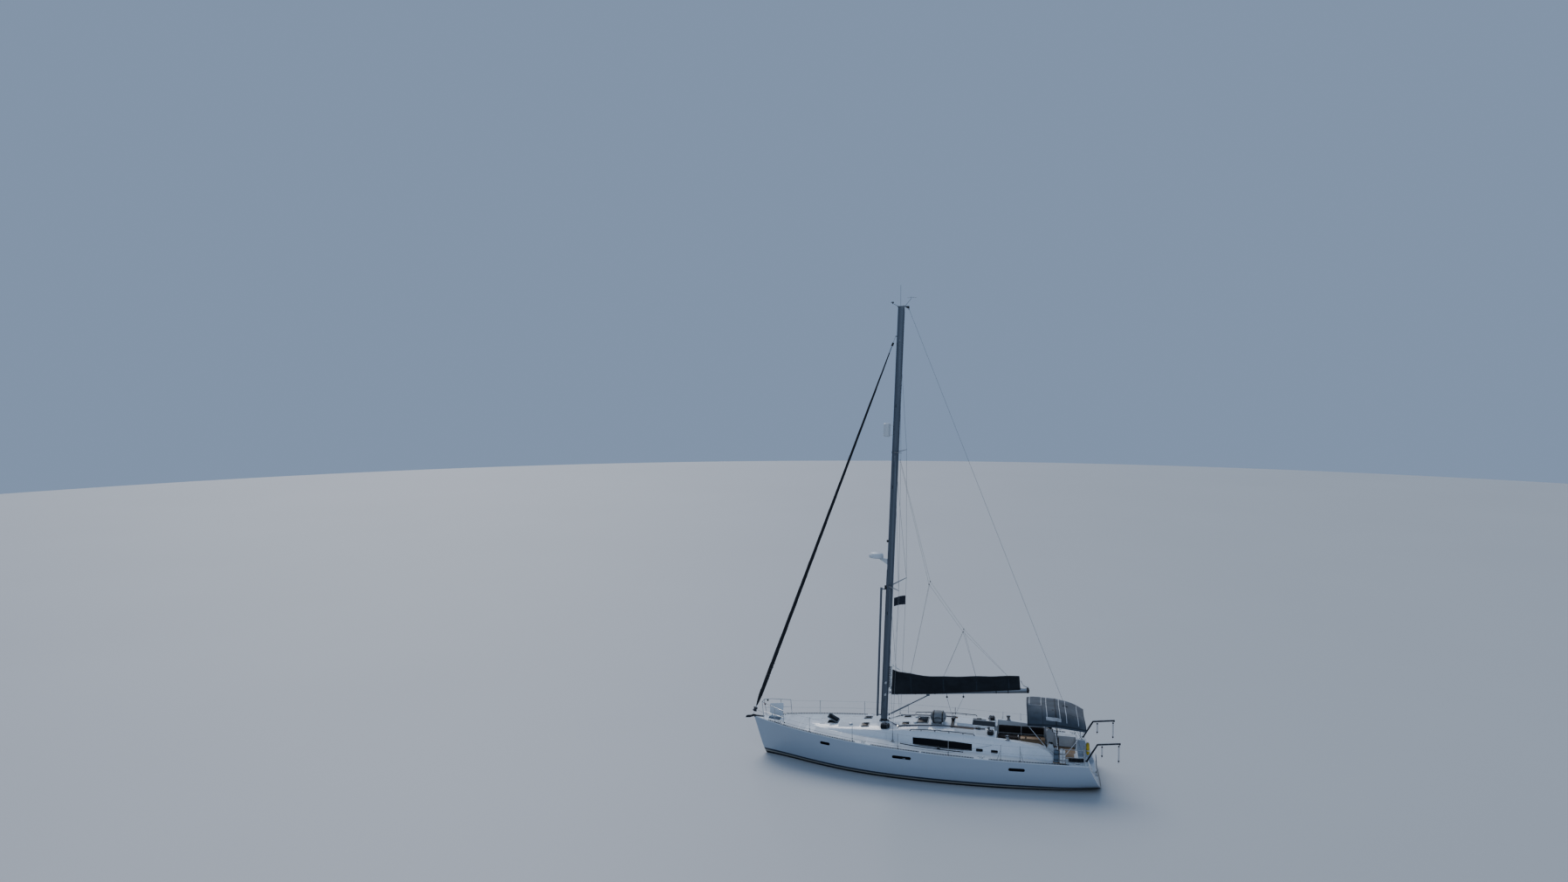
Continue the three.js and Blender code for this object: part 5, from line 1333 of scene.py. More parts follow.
@bothSides
def makeLazyJacks(side, sign):
    shape = Shape("ropeGrey")
    places = [lazyJacks[key] for key in ("mast", "first", "second")]
    mast, first, second = [Vector((x, sign * y, z)) for x, y, z in places]
    eyes = [bagSpot(s, 0.27 * sign, 0.93, 0.012) for s in sailBag["hangs"]]
    legs = [(mast, first), (first, eyes[0]), (first, second)] + [(second, eye) for eye in eyes[1:]]
    for a, b in legs:
        shape.tube(hanging(a, b, 0.02, 14), lazyJacks["radius"], 6)
    for spot in (first, second):
        sheave(shape.use("black"), spot, 0.02, 0.007, 0.024, 16)
    made = shape.piece(f"lazy_jacks_{side}", body=None)
    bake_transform(made)


print("boom dressed")

# Bimini: one sheet over the hoops, sagging a little between them, with sewn panels and hems
canopy = {
    # place, height of the edge, height of the crown, half width
    "rows": [(-4.4, 2.52, 3.075, 1.4), (-4.9, 2.54, 3.13, 1.44), (-5.6, 2.53, 3.07, 1.45),
             (-6.25, 2.47, 2.955, 1.44), (-6.75, 2.4, 2.66, 1.38)],
    "hoops": [-4.5, -5.56, -6.69], "sag": 0.03, "power": 5, "thick": 0.004, "sweep": 0.05,
    "slot": (-5.885, -6.085, 0.035),
    "flat": (3.34, 2.45),
    # sewn strips: from x and y, to x and y, width, cloth
    "strips": [
        (-5.2, -0.85, -5.2, 1.27, 0.03, "panelEdge"), (-5.72, -0.85, -5.72, 1.27, 0.03, "panelEdge"),
        (-5.2, -0.85, -5.72, -0.85, 0.03, "panelEdge"), (-5.16, 1.245, -5.76, 1.245, 0.105, "panelEdge"),
        (-5.98, -0.7, -5.98, 1.3, 0.028, "panelEdge"), (-6.45, -0.7, -6.45, 1.3, 0.028, "panelEdge"),
        (-4.52, -0.9, -4.52, 0.4, 0.026, "panelEdge"), (-5, -0.9, -5, 0.4, 0.026, "panelEdge"),
        (-4.52, -0.9, -5, -0.9, 0.026, "panelEdge"), (-4.52, 0.4, -5, 0.4, 0.026, "panelEdge"),
        (-4.42, -1.42, -6.73, -1.38, 0.035, "hemCloth"), (-4.42, 1.42, -6.73, 1.38, 0.035, "hemCloth"),
        (-4.42, -1.4, -4.42, 1.4, 0.038, "hemCloth"), (-6.73, -1.36, -6.73, 1.36, 0.038, "hemCloth"),
        (-5.56, -1.4, -5.56, 1.4, 0.06, "hemCloth"), (-5.02, -1.4, -5.02, 1.4, 0.016, "hemCloth"),
        (-5.76, 0.9, -6.68, 0.9, 0.014, "hemCloth"), (-5.86, 0.05, -6.11, 0.05, 0.02, "hemCloth"),
        (-5.86, -0.05, -6.11, -0.05, 0.02, "hemCloth"), (-5.41, 0.78, -5.49, 0.78, 0.075, "black"),
    ],
}


def canopyAt(x, share, lifted=0):
    edge, crown, half = [smoothRead([(r[0], r[c]) for r in reversed(canopy["rows"])], x, 1)
                         for c in (1, 2, 3)]
    hoops = canopy["hoops"]
    gap = [(a, b) for a, b in zip(hoops, hoops[1:]) if b <= x <= a]
    sag = belly = 0
    if gap:
        a, b = gap[0]
        belly = sin(pi * (x - b) / (a - b))
        sag = canopy["sag"] * belly * (1 - abs(share) ** 3 * 0.5)
    ripple = 0.006 * wave(x * 2.4, share * 2, 3) + 0.003 * wave(x * 7, share * 9, 5)
    z = edge + (crown - edge) * (1 - abs(share) ** canopy["power"]) - sag + ripple - 0.004
    pull = 0.03 * belly * abs(share) ** 6
    return Vector((x - canopy["sweep"] * share * share, share * (half - pull), z + lifted))


@atOnce
def makeCanopy():
    shape = Shape("canopyCloth")
    front, back = canopy["rows"][0][0], canopy["rows"][-1][0]
    slotFront, slotBack, slotHalf = canopy["slot"]
    wide = 1.44
    near, far = slotHalf / wide, 0.62
    shares = spaced(near, far, 14) + spaced(far, 1, 20)[1:]
    shares = [-share for share in reversed(shares)] + shares
    xs = spaced(front, slotFront, 44) + spaced(slotFront, slotBack, 6)[1:] + spaced(slotBack, back, 18)[1:]
    mid = len(shares) // 2 - 1
    inSlot = lambda a, b: slotBack - 1e-6 <= b and a <= slotFront + 1e-6
    slotCells = {(i, mid) for i, (a, b) in enumerate(zip(xs, xs[1:])) if inSlot(a, b)}
    half = canopy["thick"] / 2
    points = [canopyAt(x, share, side) for side in (half, -half) for x in xs for share in shares]
    count, wideCount, faces, edges = len(xs) * len(shares), len(shares), [], {}
    for i in range(len(xs) - 1):
        for j in range(wideCount - 1):
            if (i, j) in slotCells:
                continue
            a = i * wideCount + j
            ring = [a, a + 1, a + wideCount + 1, a + wideCount]
            faces += [ring, [count + k for k in reversed(ring)]]
            for p, q in zip(ring, ring[1:] + ring[:1]):
                key = (min(p, q), max(p, q))
                edges[key] = None if key in edges else (p, q)
    faces += [[q, p, count + p, count + q] for p, q in filter(None, edges.values())]
    shape.add(points, faces)
    made = shape.piece("bimini_cloth", slot="grey_canvas", stands=("bimini_canopy",), sharp=60)
    long = sum((canopyAt(a, 0) - canopyAt(b, 0)).length for a, b in zip(xs, xs[1:]))
    across = sum((canopyAt(-5, a) - canopyAt(-5, b)).length for a, b in zip(shares, shares[1:]))
    trim = Shape("panelEdge")

    for x0, y0, x1, y1, width, finish in canopy["strips"]:  # each strip lies on the sheet
        steps = 4 + int(30 * max(abs(x1 - x0), abs(y1 - y0)) / wide)
        way = Vector((x1 - x0, y1 - y0)).normalized() * width / 2
        tall = 0.004 if finish == "panelEdge" else 0.0025
        rings = []
        for t in spaced(0, 1, steps):
            x, y = x0 + (x1 - x0) * t, y0 + (y1 - y0) * t
            low = [canopyAt(x - k * way.y, (y + k * way.x) / wide, half + 0.0005) for k in (1, 0, -1)]
            rings.append(low + [spot + raised(tall) for spot in reversed(low)])
        trim.use(finish).skin(rings)
    sewn = trim.piece("bimini_trim", slot="grey_canvas", sharp=60)


# Life raft: a soft case with sewn seams and webbing, lashed on its chocks
raft = {"middle": (-0.725, 0.25, 2.27), "half": (0.33, 0.325, 0.23), "power": 2.7, "straps": (-0.19, 0.19)}


@atOnce
def makeRaft():
    shape = Shape("raftCloth")
    cx, cy, cz = raft["middle"]
    hx, hy, hz = raft["half"]
    roundness = lambda a: copysign(abs(cos(a)) ** (2 / raft["power"]), cos(a))
    rise = lambda a: copysign(abs(sin(a)) ** (2 / raft["power"]), sin(a))

    def surface(lat, lon, grow=0):
        wrinkle = 0.006 * wave(cos(lon) * 2, sin(lon) * 2, lat * 2)
        seam = 0.005 * max(0, 1 - abs(lat) / 0.05)
        out = 1 + (grow + wrinkle - seam) / 0.3
        flat = roundness(lat)
        x, y = hx * flat * roundness(lon) * out, hy * flat * rise(lon) * out
        z = hz * rise(lat) * (1 + grow / 0.2)
        return Vector((cx + x, cy + y, max(cz + z, cz - hz + 0.004)))

    rings = []
    for k in range(45):
        lat = -pi / 2 + 0.02 + (pi - 0.04) * k / 44
        rings.append([surface(lat, a) for a in circle(72)])
    shape.skin(rings)
    pipe = [surface(0, a, 0.004) for a in circle(72)]
    shape.use("hemCloth").tube(pipe, 0.008, 6, True)
    for offset in raft["straps"]:
        loop = []
        for t in circle(64):
            y, z = hy * roundness(t) * 0.985, hz * rise(t)
            fit = 1 - 0.07 * (abs(offset) / hx) ** 2
            loop.append((y * fit, z * fit))
        rings = []
        for y, z in loop:
            n = Vector((0, y / hy**2, z / hz**2)).normalized() * 0.006
            a, b = [Vector((cx + offset + half, cy + y, cz + z)) for half in (-0.022, 0.022)]
            rings.append([a + n * 0.3, a + n, b + n, b + n * 0.3])
        shape.use("black").skin(rings, True)
        crest = Vector((cx + offset, cy, cz + hz))
        shape.use("steel").box(crest, (-0.03, -0.03, 0.001), (0.03, 0.03, 0.012), 0.003)
    ends = [(-0.11, hy * 0.985, 0.03), (-0.07, hy + 0.02, 0.05), (0.07, hy + 0.02, 0.05),
            (0.11, hy * 0.985, 0.03)]
    handle = [(cx + x, cy + y, cz + z) for x, y, z in ends]
    shape.use("black").tube(curved(handle, 5), 0.01, 8)
    for x0 in (-0.96, -0.5):
        for y in (-0.03, 0.53):
            base = onTop(x0 + 0.03, y).z
            shape.use("whitePlastic").block((x0, y - 0.03, base - 0.004), (x0 + 0.06, y + 0.03, 2.115), 0.006)
        shape.block((x0, -0.06, 2.03), (x0 + 0.06, 0.56, 2.062), 0.006)
    made = shape.piece("life_raft_case", slot="grey_canvas", stands=("life_raft",), sharp=50)


print("canopy and raft made")

# Helm: leather-covered wheels, compasses, instruments, engine lever and grab rails
helm = {
    "hub": (-5.7, 0.95, 1.5), "rim": 0.45, "tube": 0.015, "spokes": 6, "compass": (-5.4, 1.69),
    "slope": ((-5.56, 1.48), (-5.48, 1.68)), "stitches": 120,
    # x, y from the console's middle, z
    "rail": [(-5.29, -0.15, 1.7), (-5.305, -0.158, 1.8), (-5.32, -0.13, 1.835), (-5.32, 0.13, 1.835),
             (-5.305, 0.158, 1.8), (-5.29, 0.15, 1.7)],
    "hubProfile": [(0, -0.039), (0.02, -0.039), (0.024, -0.034), (0.026, -0.022), (0.047, -0.014),
                   (0.048, 0.004), (0.044, 0.012), (0.03, 0.018), (0, 0.018)],
}


def makeWheel(side, sign):
    shape = Shape("leather")
    x, y, z = helm["hub"]
    centre = Vector((x, sign * y, z))
    around = lambda r, a, dx=0: centre + Vector((dx, r * cos(a), r * sin(a)))
    rim, tube, count = helm["rim"], helm["tube"], helm["stitches"]
    wrap = [tube * (0.97 + 0.03 * (i % 4 != 0)) for i in range(count)]
    shape.tube([around(rim, a) for a in circle(count)], wrap, 12, True)
    inner = rim - tube * 0.93
    for i in range(count):  # cross stitches along the inside of the rim
        a = 2 * pi * (i + 0.5) / count
        stitch = [around(inner, a - 0.012, 0.005), around(inner - 0.0015, a),
                  around(inner, a + 0.012, -0.005)]
        shape.use("pipingCloth").tube(stitch, 0.0014, 4)
    out = tube + 0.003
    for i in range(9):  # the knot that marks the wheel's top
        a = pi / 2 + (i - 4) * 0.012
        ring = [around(rim + out * cos(t), a + 0.01 * sin(3 * t), out * sin(t)) for t in circle(16)]
        shape.use("ropeWhite").tube(ring, 0.0028, 5, True)
    for angle in circle(helm["spokes"]):
        a = angle + pi / 2
        spoke = ((0.035, -0.006), (0.12, -0.004), (0.3, -0.001), (rim - tube * 0.8, 0))
        path = [around(r, a, dx) for r, dx in spoke]
        shape.use("steel").tube(curved(path, 4), 0.0075, 10)
        foot = around(rim - tube - 0.004, a)
        collar = [(0.0075, -0.016), (0.011, -0.01), (0.015, 0.002), (0.014, 0.004)]
        shape.lathe(collar, 14, foot, (0, cos(a), sin(a)))
    shape.use("steel").lathe(helm["hubProfile"], 40, centre, (1, 0, 0))
    shape.use("black").lathe([(0, -0.0395), (0.015, -0.0395), (0.016, -0.036)], 24, centre, (1, 0, 0))
    shape.piece(f"wheel_{side}_leather", f"wheel_{side}", "steel", (f"helm_wheel_{side}",), sharp=50)


def makeHelm(side, sign):
    shape = Shape("black")
    y = helm["hub"][1] * sign
    x, z = helm["compass"]
    shape.lathe([(0.098, -0.006), (0.099, 0.012), (0.092, 0.022), (0.086, 0.024)], 44, (x, y, z + 0.012))
    arc = [(0.0935 * cos(t), 0.0935 * sin(t)) for t in spaced(0.3, pi / 2 - 0.02, 14)]
    shape.use("acrylic").lathe([(0.086, 0.024)] + arc + [(0, 0.0938)], 44, (x, y, z))
    mark = [(x + 0.0955 * cos(t), y + 0.0955 * sin(t), z + 0.03) for t in circle(44)]
    shape.use("whitePlastic").tube(mark, 0.0022, 5, True)
    (x0, z0), (x1, z1) = helm["slope"]
    lean = atan2(x1 - x0, z1 - z0)
    for dy in (-0.078, 0.078):  # two instruments on the sloping face, towards the helmsman
        middle = Vector(((x0 + x1) / 2, y + dy, (z0 + z1) / 2 + 0.01))
        turn = Matrix.Rotation(lean, 4, "Y") @ Matrix.Rotation(-pi / 2, 4, "Y")
        shape.frame = Matrix.Translation(middle) @ turn
        shape.use("black").plate(rounded(0.058, 0.058, 0.012), -0.004, 0.016, 0.004)
        shape.use("acrylic").plate(rounded(0.044, 0.04, 0.006), 0.0155, 0.0175, 0.001)
        for k in range(4):
            low, high = -0.036 + 0.019 * k, -0.024 + 0.019 * k
            shape.use("greyPlastic").block((-0.053, low, 0.0155), (-0.047, high, 0.0185), 0.0012)
    shape.at()
    rail = [(px, y + py, pz) for px, py, pz in helm["rail"]]
    shape.use("steel").tube(curved(rail, 5), 0.0125, 10)
    for end in (rail[0], rail[-1]):
        shape.use("steel").lathe([(0.026, -0.004), (0.025, 0.004), (0.016, 0.008)], 18,
                                 Vector(end) + raised(0.006))
    grille = [(u - 5.2475, v + y) for u, v in rounded(0.006, 0.11, 0.004)]
    shape.use("greyPlastic").plate(grille, 1.02, 1.4, 0.002)
    for k in range(5):
        shape.use("black").block((-5.2435, y - 0.09, 1.08 + 0.05 * k),
                                 (-5.2385, y + 0.09, 1.095 + 0.05 * k), 0.002)
    if sign < 0:  # the engine lever and its plate, on the starboard console
        face = Vector((-5.545, y - 0.172, 1.3))
        plate = [(0, 0), (0.055, 0), (0.058, 0.012), (0.046, 0.026), (0, 0.028)]
        shape.use("black").lathe(plate, 30, face + Vector((0.09, 0.003, 0)), (0, -1, 0))
        bends = ((0.09, -0.028, 0), (0.085, -0.04, 0.07), (0.075, -0.045, 0.17))
        lever = [face + Vector(p) for p in bends]
        shape.use("steel").tube(curved(lever, 5), 0.008, 10)
        shape.use("black").lathe([(0, -0.02), (0.014, -0.018), (0.018, 0), (0.014, 0.018),
                                  (0, 0.02)], 20, lever[-1])
    shape.piece(f"helm_fittings_{side}", slot="black_plastic")


for side, sign in sides:
    makeWheel(side, sign)
    makeHelm(side, sign)

# Cockpit cushions: blown up a little by a cloth run, then piped along their seams
cushions = {
    "voxel": 0.016, "pressure": 4, "frames": 20, "cap": 0.016, "shrink": 0.012,
    "seatX": [(-5.17, -4.21), (-4.19, -3.24)], "seatY": (0.555, 1.135), "seatZ": (1.22, 1.285),
    "backY": (1.105, 1.172), "backZ": (1.3, 1.64),
}


def swell(mesh, pinned, cap):
    temp = bpy.data.objects.new("cushionRun", mesh)
    bpy.context.scene.collection.objects.link(temp)
    before = [v.co.copy() for v in mesh.vertices]
    normals = [v.normal.copy() for v in mesh.vertices]
    group = temp.vertex_groups.new(name="held")
    group.add([i for i, p in enumerate(before) if pinned(p)], 1, "REPLACE")
    run = temp.modifiers.new("puff", "CLOTH")
    run.settings.use_pressure, run.settings.uniform_pressure_force = True, cushions["pressure"]
    run.settings.vertex_group_mass = "held"
    run.settings.effector_weights.gravity = 0
    run.settings.quality = 5
    run.collision_settings.use_collision = False
    for number in range(1, cushions["frames"] + 1):
        bpy.context.scene.frame_set(number)
    made = temp.evaluated_get(bpy.context.evaluated_depsgraph_get()).to_mesh()
    after = [v.co.copy() for v in made.vertices]
    temp.modifiers.clear()
    bpy.context.scene.frame_set(1)
    for v, a, b, n in zip(mesh.vertices, before, after, normals):
        moved = b - a
        v.co = a + moved * min(1, cap / max(1e-9, moved.length))
    bpy.data.objects.remove(temp)


def makeCushion(name, low, high, buttons=(), flatAxis=2):
    low, high = Vector(low), Vector(high)
    shrink = Vector((1, 1, 1)) * cushions["shrink"]
    shape = Shape("cushionCloth")
    shape.block(low + shrink * 0.6, high - shrink * 0.6, 0.02, 4)
    piece = shape.piece(name, slot="teak", sharp=180)
    mesh = piece.data
    remesh = piece.modifiers.new("evenMesh", "REMESH")
    remesh.mode, remesh.voxel_size, remesh.use_smooth_shade = "VOXEL", cushions["voxel"], True
    fresh = bpy.data.meshes.new_from_object(piece.evaluated_get(bpy.context.evaluated_depsgraph_get()))
    piece.modifiers.clear()
    piece.data = fresh
    outer = max(abs(low.y), abs(high.y)) - 0.022
    held = (lambda p: p.z < low.z + 0.022) if flatAxis == 2 else (lambda p: abs(p.y) > outer)
    swell(fresh, held, cushions["cap"])
    for v in fresh.vertices:  # channels sewn across, and the cloth kept inside its own room
        for x in buttons:
            near = exp(-((v.co.x - x) / 0.016) ** 2)
            if flatAxis == 2 and v.co.z > (low.z + high.z) / 2:
                v.co.z -= 0.01 * near
            elif flatAxis == 1 and abs(v.co.y) < (abs(low.y) + abs(high.y)) / 2:
                v.co.y += copysign(0.01, v.co.y) * near
        v.co.z = max(v.co.z, low.z)
    fresh.materials.clear()
    fresh.materials.append(finishes["cushionCloth"].material)
    for polygon in fresh.polygons:
        polygon.use_smooth = True
    fine = piece.modifiers.new("fine", "SUBSURF")
    fine.levels = fine.render_levels = 1
    return piece


@atOnce
def makeCushions():
    (seatLow, seatHigh), (backLow, backHigh) = cushions["seatZ"], cushions["backZ"]
    for side, sign in sides:
        for k, (x0, x1) in enumerate(cushions["seatX"]):
            seams = [x0 + (x1 - x0) * share for share in (1 / 3, 2 / 3)]
            y0, y1 = sorted(sign * y for y in cushions["seatY"])
            makeCushion(f"seat_cushion_{side}_{k + 1}", (x0, y0, seatLow), (x1, y1, seatHigh), seams)
            backY0, backY1 = sorted(sign * y for y in cushions["backY"])
            makeCushion(f"back_cushion_{side}_{k + 1}", (x0, backY0, backLow),
                        (x1, backY1, backHigh), seams, 1)
            piping = Shape("pipingCloth")
            halfX, halfY = (x1 - x0) / 2, (y1 - y0) / 2
            outline = rounded(halfX - 0.004, halfY - 0.004, 0.03, 5)
            for z in (seatLow + 0.012, seatHigh - 0.01):
                seam = [(u + (x0 + x1) / 2, v + (y0 + y1) / 2, z) for u, v in outline]
                piping.tube(seam, 0.0045, 6, True)
            piping.piece(f"seat_piping_{side}_{k + 1}", slot="teak")


print("cushions made")

table = {
    "x": (-5.19, -4.17), "y": 0.16, "z": 1.51,
    "legs": [(-5.1, -0.1215), (-5.1, 0.1215), (-4.37, -0.1215), (-4.37, 0.1215)],
    # the grab rail, from the table's after end
    "grab": [(0.006, -0.13, 1.46), (0.075, -0.13, 1.5), (0.09, -0.12, 1.6), (0.09, 0.12, 1.6),
             (0.075, 0.13, 1.5), (0.006, 0.13, 1.46)],
}


@atOnce
def makeTable():
    shape = Shape("teak")
    x0, x1 = table["x"]
    half, top = table["y"], table["z"]
    shape.block((x0, -half - 0.02, top + 0.001), (x1, half + 0.02, top + 0.012))
    for y in (-half - 0.008, half + 0.008):  # the raised edges
        shape.block((x0 + 0.05, y - 0.009, top + 0.01), (x1 - 0.05, y + 0.009, top + 0.034), 0.005)
    cup = [(0.044, 0), (0.046, 0.004), (0.04, 0.005), (0.037, -0.004), (0, -0.004)]
    for x, y in [(x, y) for x in (x0 + 0.22, x1 - 0.22) for y in (-0.07, 0.07)]:
        shape.use("black").lathe(cup, 30, (x, y, top + 0.012))
    for x, sign in [(x, sign) for sign in (1, -1) for x in (x0 + 0.16, x1 - 0.16)]:  # the leaves' hinges
        y0, y1 = sign * 0.163 - 0.003, sign * 0.178 + 0.003
        shape.use("steel").block((x - 0.03, y0, top - 0.006), (x + 0.03, y1, top + 0.003), 0.002)
    for x, y in table["legs"]:
        shape.use("steel").lathe([(0.022, 0), (0.02, 0.01), (0.0175, 0.02), (0.0175, 0.66)],
                                 18, (x, y, 0.808))
    grab = [(x1 + x, y, z) for x, y, z in table["grab"]]
    shape.use("steel").tube(curved(grab, 5), 0.0125, 10)
    shape.piece("table_fittings", slot="teak")


# Stern: boxes and buoy on the rails, a rolled cover on the aft deck, davit tackles
stern = {
    "boxes": [((-5.6, 1.8), (0.1, 0.105, 0.46), "blueCloth"),
              ((-5.84, 1.83), (0.11, 0.12, 0.52), "whitePlastic")],
    # share of the height, how much wider than the box
    "boxSides": [(0, -0.016), (0.006, -0.004), (0.04, 0), (0.48, 0.003), (0.9, 0), (0.965, -0.006),
                 (0.99, -0.018), (1, -0.035)],
    "buoy": (-6.82, 1.33, 1.71), "buoyRadius": 0.2, "buoyTube": 0.062,
    "roll": ((-6.1, 1.63), (-6.68, 1.57), 0.08),
}


@atOnce
def makeBoxes():
    for k, ((x, y), (halfX, halfY, tall), finish) in enumerate(stern["boxes"]):
        shape = Shape(finish)
        foot = min(onTop(x + dx, y + dy).z for dx in (-halfX, halfX) for dy in (-halfY, halfY)) + 0.03
        rings = []
        for share, grow in stern["boxSides"]:
            outline = rounded(halfX + grow, halfY + grow, 0.045 + grow * 0.5, 5)
            rings.append([(x + u, y + v, foot + tall * share) for u, v in outline])
        shape.skin(rings)
        top = foot + tall
        cap = [(0.026, 0), (0.027, 0.018), (0.022, 0.026), (0, 0.026)]
        shape.use("black").lathe(cap, 22, (x - halfX * 0.45, y, top - 0.002))
        handle = [(-0.02, -0.004), (-0.01, 0.035), (halfX * 0.6, 0.035), (halfX * 0.7, -0.004)]
        shape.use(finish).tube(curved([(x + u, y, top + v) for u, v in handle], 5), 0.013, 10)
        for share in (0.24, 0.74):  # webbing round the box to the rail
            level, rings = foot + tall * share, []
            for u, v in rounded(halfX + 0.004, halfY + 0.004, 0.05, 5):
                section = [(1, -0.014), (1, 0.014), (1.02, 0.014), (1.02, -0.014)]
                rings.append([(x + u * out, y + v * out, level + dz) for out, dz in section])
            shape.use("black").skin(rings, True)
        wide, deep = halfX + 0.02, halfY + 0.01
        shape.use("teak").block((x - wide, y - deep, foot - 0.034), (x + wide, y + deep, foot - 0.002))
        shape.piece(f"rail_box_{k + 1}", slot="grey_canvas")


@atOnce
def makeBuoy():
    shape = Shape("yellowCloth")
    x, y, z = stern["buoy"]
    radius, tube = stern["buoyRadius"], stern["buoyTube"]
    path = []
    for k in range(41):
        a = radians(-150 + 300 * k / 40) + pi / 2
        path.append((x - 0.03, y + radius * cos(a) * 0.95, z + radius * sin(a)))
    radii = [tube * (0.86 + 0.14 * min(1, min(k, 40 - k) / 3)) * (1 - 0.05 * (k % 8 == 4)) for k in range(41)]
    shape.tube(path, radii, 18)
    for k in (8, 20, 32):
        p, q = Vector(path[k - 1]), Vector(path[k + 1])
        way = (q - p).normalized()
        across = Vector((1, 0, 0))
        out = way.cross(across).normalized()
        rings = []
        for d, g in ((-0.02, 0.001), (-0.02, 0.004), (0.02, 0.004), (0.02, 0.001)):
            rings.append(hoop(Vector(path[k]) + way * d, across * (tube + g), out * (tube + g), 24))
        shape.use("whiteCloth").skin(rings, True)
    piece = shape.piece("horseshoe_buoy", slot="grey_canvas", sharp=60)


@atOnce
def makeRoll():
    (x0, y0), (x1, y1), radius = stern["roll"]
    shape = Shape("bagCloth")
    a, b = Vector((x0, y0, 0)), Vector((x1, y1, 0))
    level = max(onTop(p.x, p.y).z for p in (a, b, a.lerp(b, 0.5))) + radius * 0.86
    way = (b - a).normalized()
    across = way.cross(raised(1))
    rings, count = [], 34
    for s in spaced(0, 1, 46):
        c = a.lerp(b, s) + raised(level)
        tie = 1 - 0.1 * sum(exp(-((s - t) / 0.035) ** 2) for t in (0.2, 0.5, 0.8))
        ring = []
        for j in range(count):
            share = j / (count - 1)
            t = 2 * pi * share + 0.6
            crease = 0.05 * wave(cos(t) * 1.4, sin(t) * 1.4, s * 5)
            r = radius * tie * (0.9 + 0.08 * share + crease)
            ring.append(c + across * r * cos(t) * 1.06 + raised(r * sin(t) * 0.9))
        rings.append(ring)
    shape.skin(rings)
    for s in (0.2, 0.5, 0.8):
        loop = hoop(a.lerp(b, s) + raised(level), across * radius * 0.93, raised(radius * 0.83), 24)
        shape.use("ropeGrey").tube(loop, 0.005, 6, True)
    piece = shape.piece("rolled_cover", slot="dark_canvas", sharp=55)


davits = {
    "x": -8.08, "y": 1.45, "z": 2.05, "elbow": (-7.22, 1.95), "radius": 0.0045,
    # each tackle: x, height under the arm, length
    "tackles": [(-8.05, 2.05, 0.72), (-7.4, 1.955 + 0.1 * 0.18 / 0.86, 0.48)],
    "eye": [(0.036, 0), (0.028, 0.05), (0, 0.066), (-0.028, 0.05), (-0.036, 0)],
    "hook": [(0, 0.03), (0, 0.065), (0.016, 0.088), (0.03, 0.066)],
    # x, distance outwards, z of the fall along the arm and down the leg
    "run": [(-8.02, 0, 2.086), (-7.75, 0, 2.064), (-7.42, 0, 2.02), (-7.24, 0, 1.988), (-7.12, 0.02, 1.84),
            (-6.96, 0.028, 1.58)],
    "cap": [(0, 0), (0.036, 0), (0.038, 0.008), (0.036, 0.03), (0.03, 0.034)],
    "horns": [(0.03, 0.016, -0.075), (0, 0.02, 0), (-0.03, 0.016, 0.075)],
}


@bothSides
def makeDavitGear(side, sign):
    y = sign * davits["y"]
    shape = Shape("black")
    for x, top, drop in davits["tackles"]:
        eye = [(x, y + out, top - down) for out, down in davits["eye"]]
        shape.use("steel").tube(curved(eye, 4), 0.004, 6)
        blockAt(shape, Vector((x, y, top - 0.105)), 0.034)
        blockAt(shape, Vector((x, y, top - drop)), 0.034)
        shape.use("ropeWhite")
        for dx in (-0.026, -0.009, 0.009, 0.026):
            shape.tube([(x + dx, y, top - 0.105), (x + dx * 0.9, y, top - drop)], davits["radius"], 6)
        hook = [(x + ahead, y, top - drop - down) for ahead, down in davits["hook"]]
        shape.use("steel").tube(curved(hook, 4), [0.005] * 12 + [0.002], 8)
    shape.use("black").lathe(davits["cap"], 26, (davits["x"] - 0.036, y, davits["z"]), (1, 0, 0))
    run = [(x, y + sign * out, z) for x, out, z in davits["run"]]
    shape.use("ropeWhite").tube(curved(run, 5), 0.005, 6)
    for share in (0.18, 0.5, 0.82):  # ties of light line round the arm
        x = davits["x"] + (davits["elbow"][0] - davits["x"]) * share
        z = davits["z"] + (davits["elbow"][1] - davits["z"]) * share
        loop = hoop(Vector((x, y, z)), Vector((0, 0.0345, 0)), raised(0.0345), 20)
        shape.use("ropeWhite").tube(loop, 0.004, 6, True)
    cleat = Vector((-7.035, y + sign * 0.036, 1.64))
    shape.use("black").box(cleat, (-0.014, -0.008, -0.03), (0.014, 0.008, 0.03))
    horns = [cleat + Vector((x, sign * out, z)) for x, out, z in davits["horns"]]
    shape.tube(curved(horns, 5), 0.008, 8)
    shape.piece(f"davit_tackle_{side}", slot="black_plastic")


print("stern dressed")

# Aloft: flag and halyards, mast track and fittings, lights and the wind instruments
flag = {"hoist": (0.62, 1, 7.24), "size": (0.52, 0.38), "waves": 0.035}


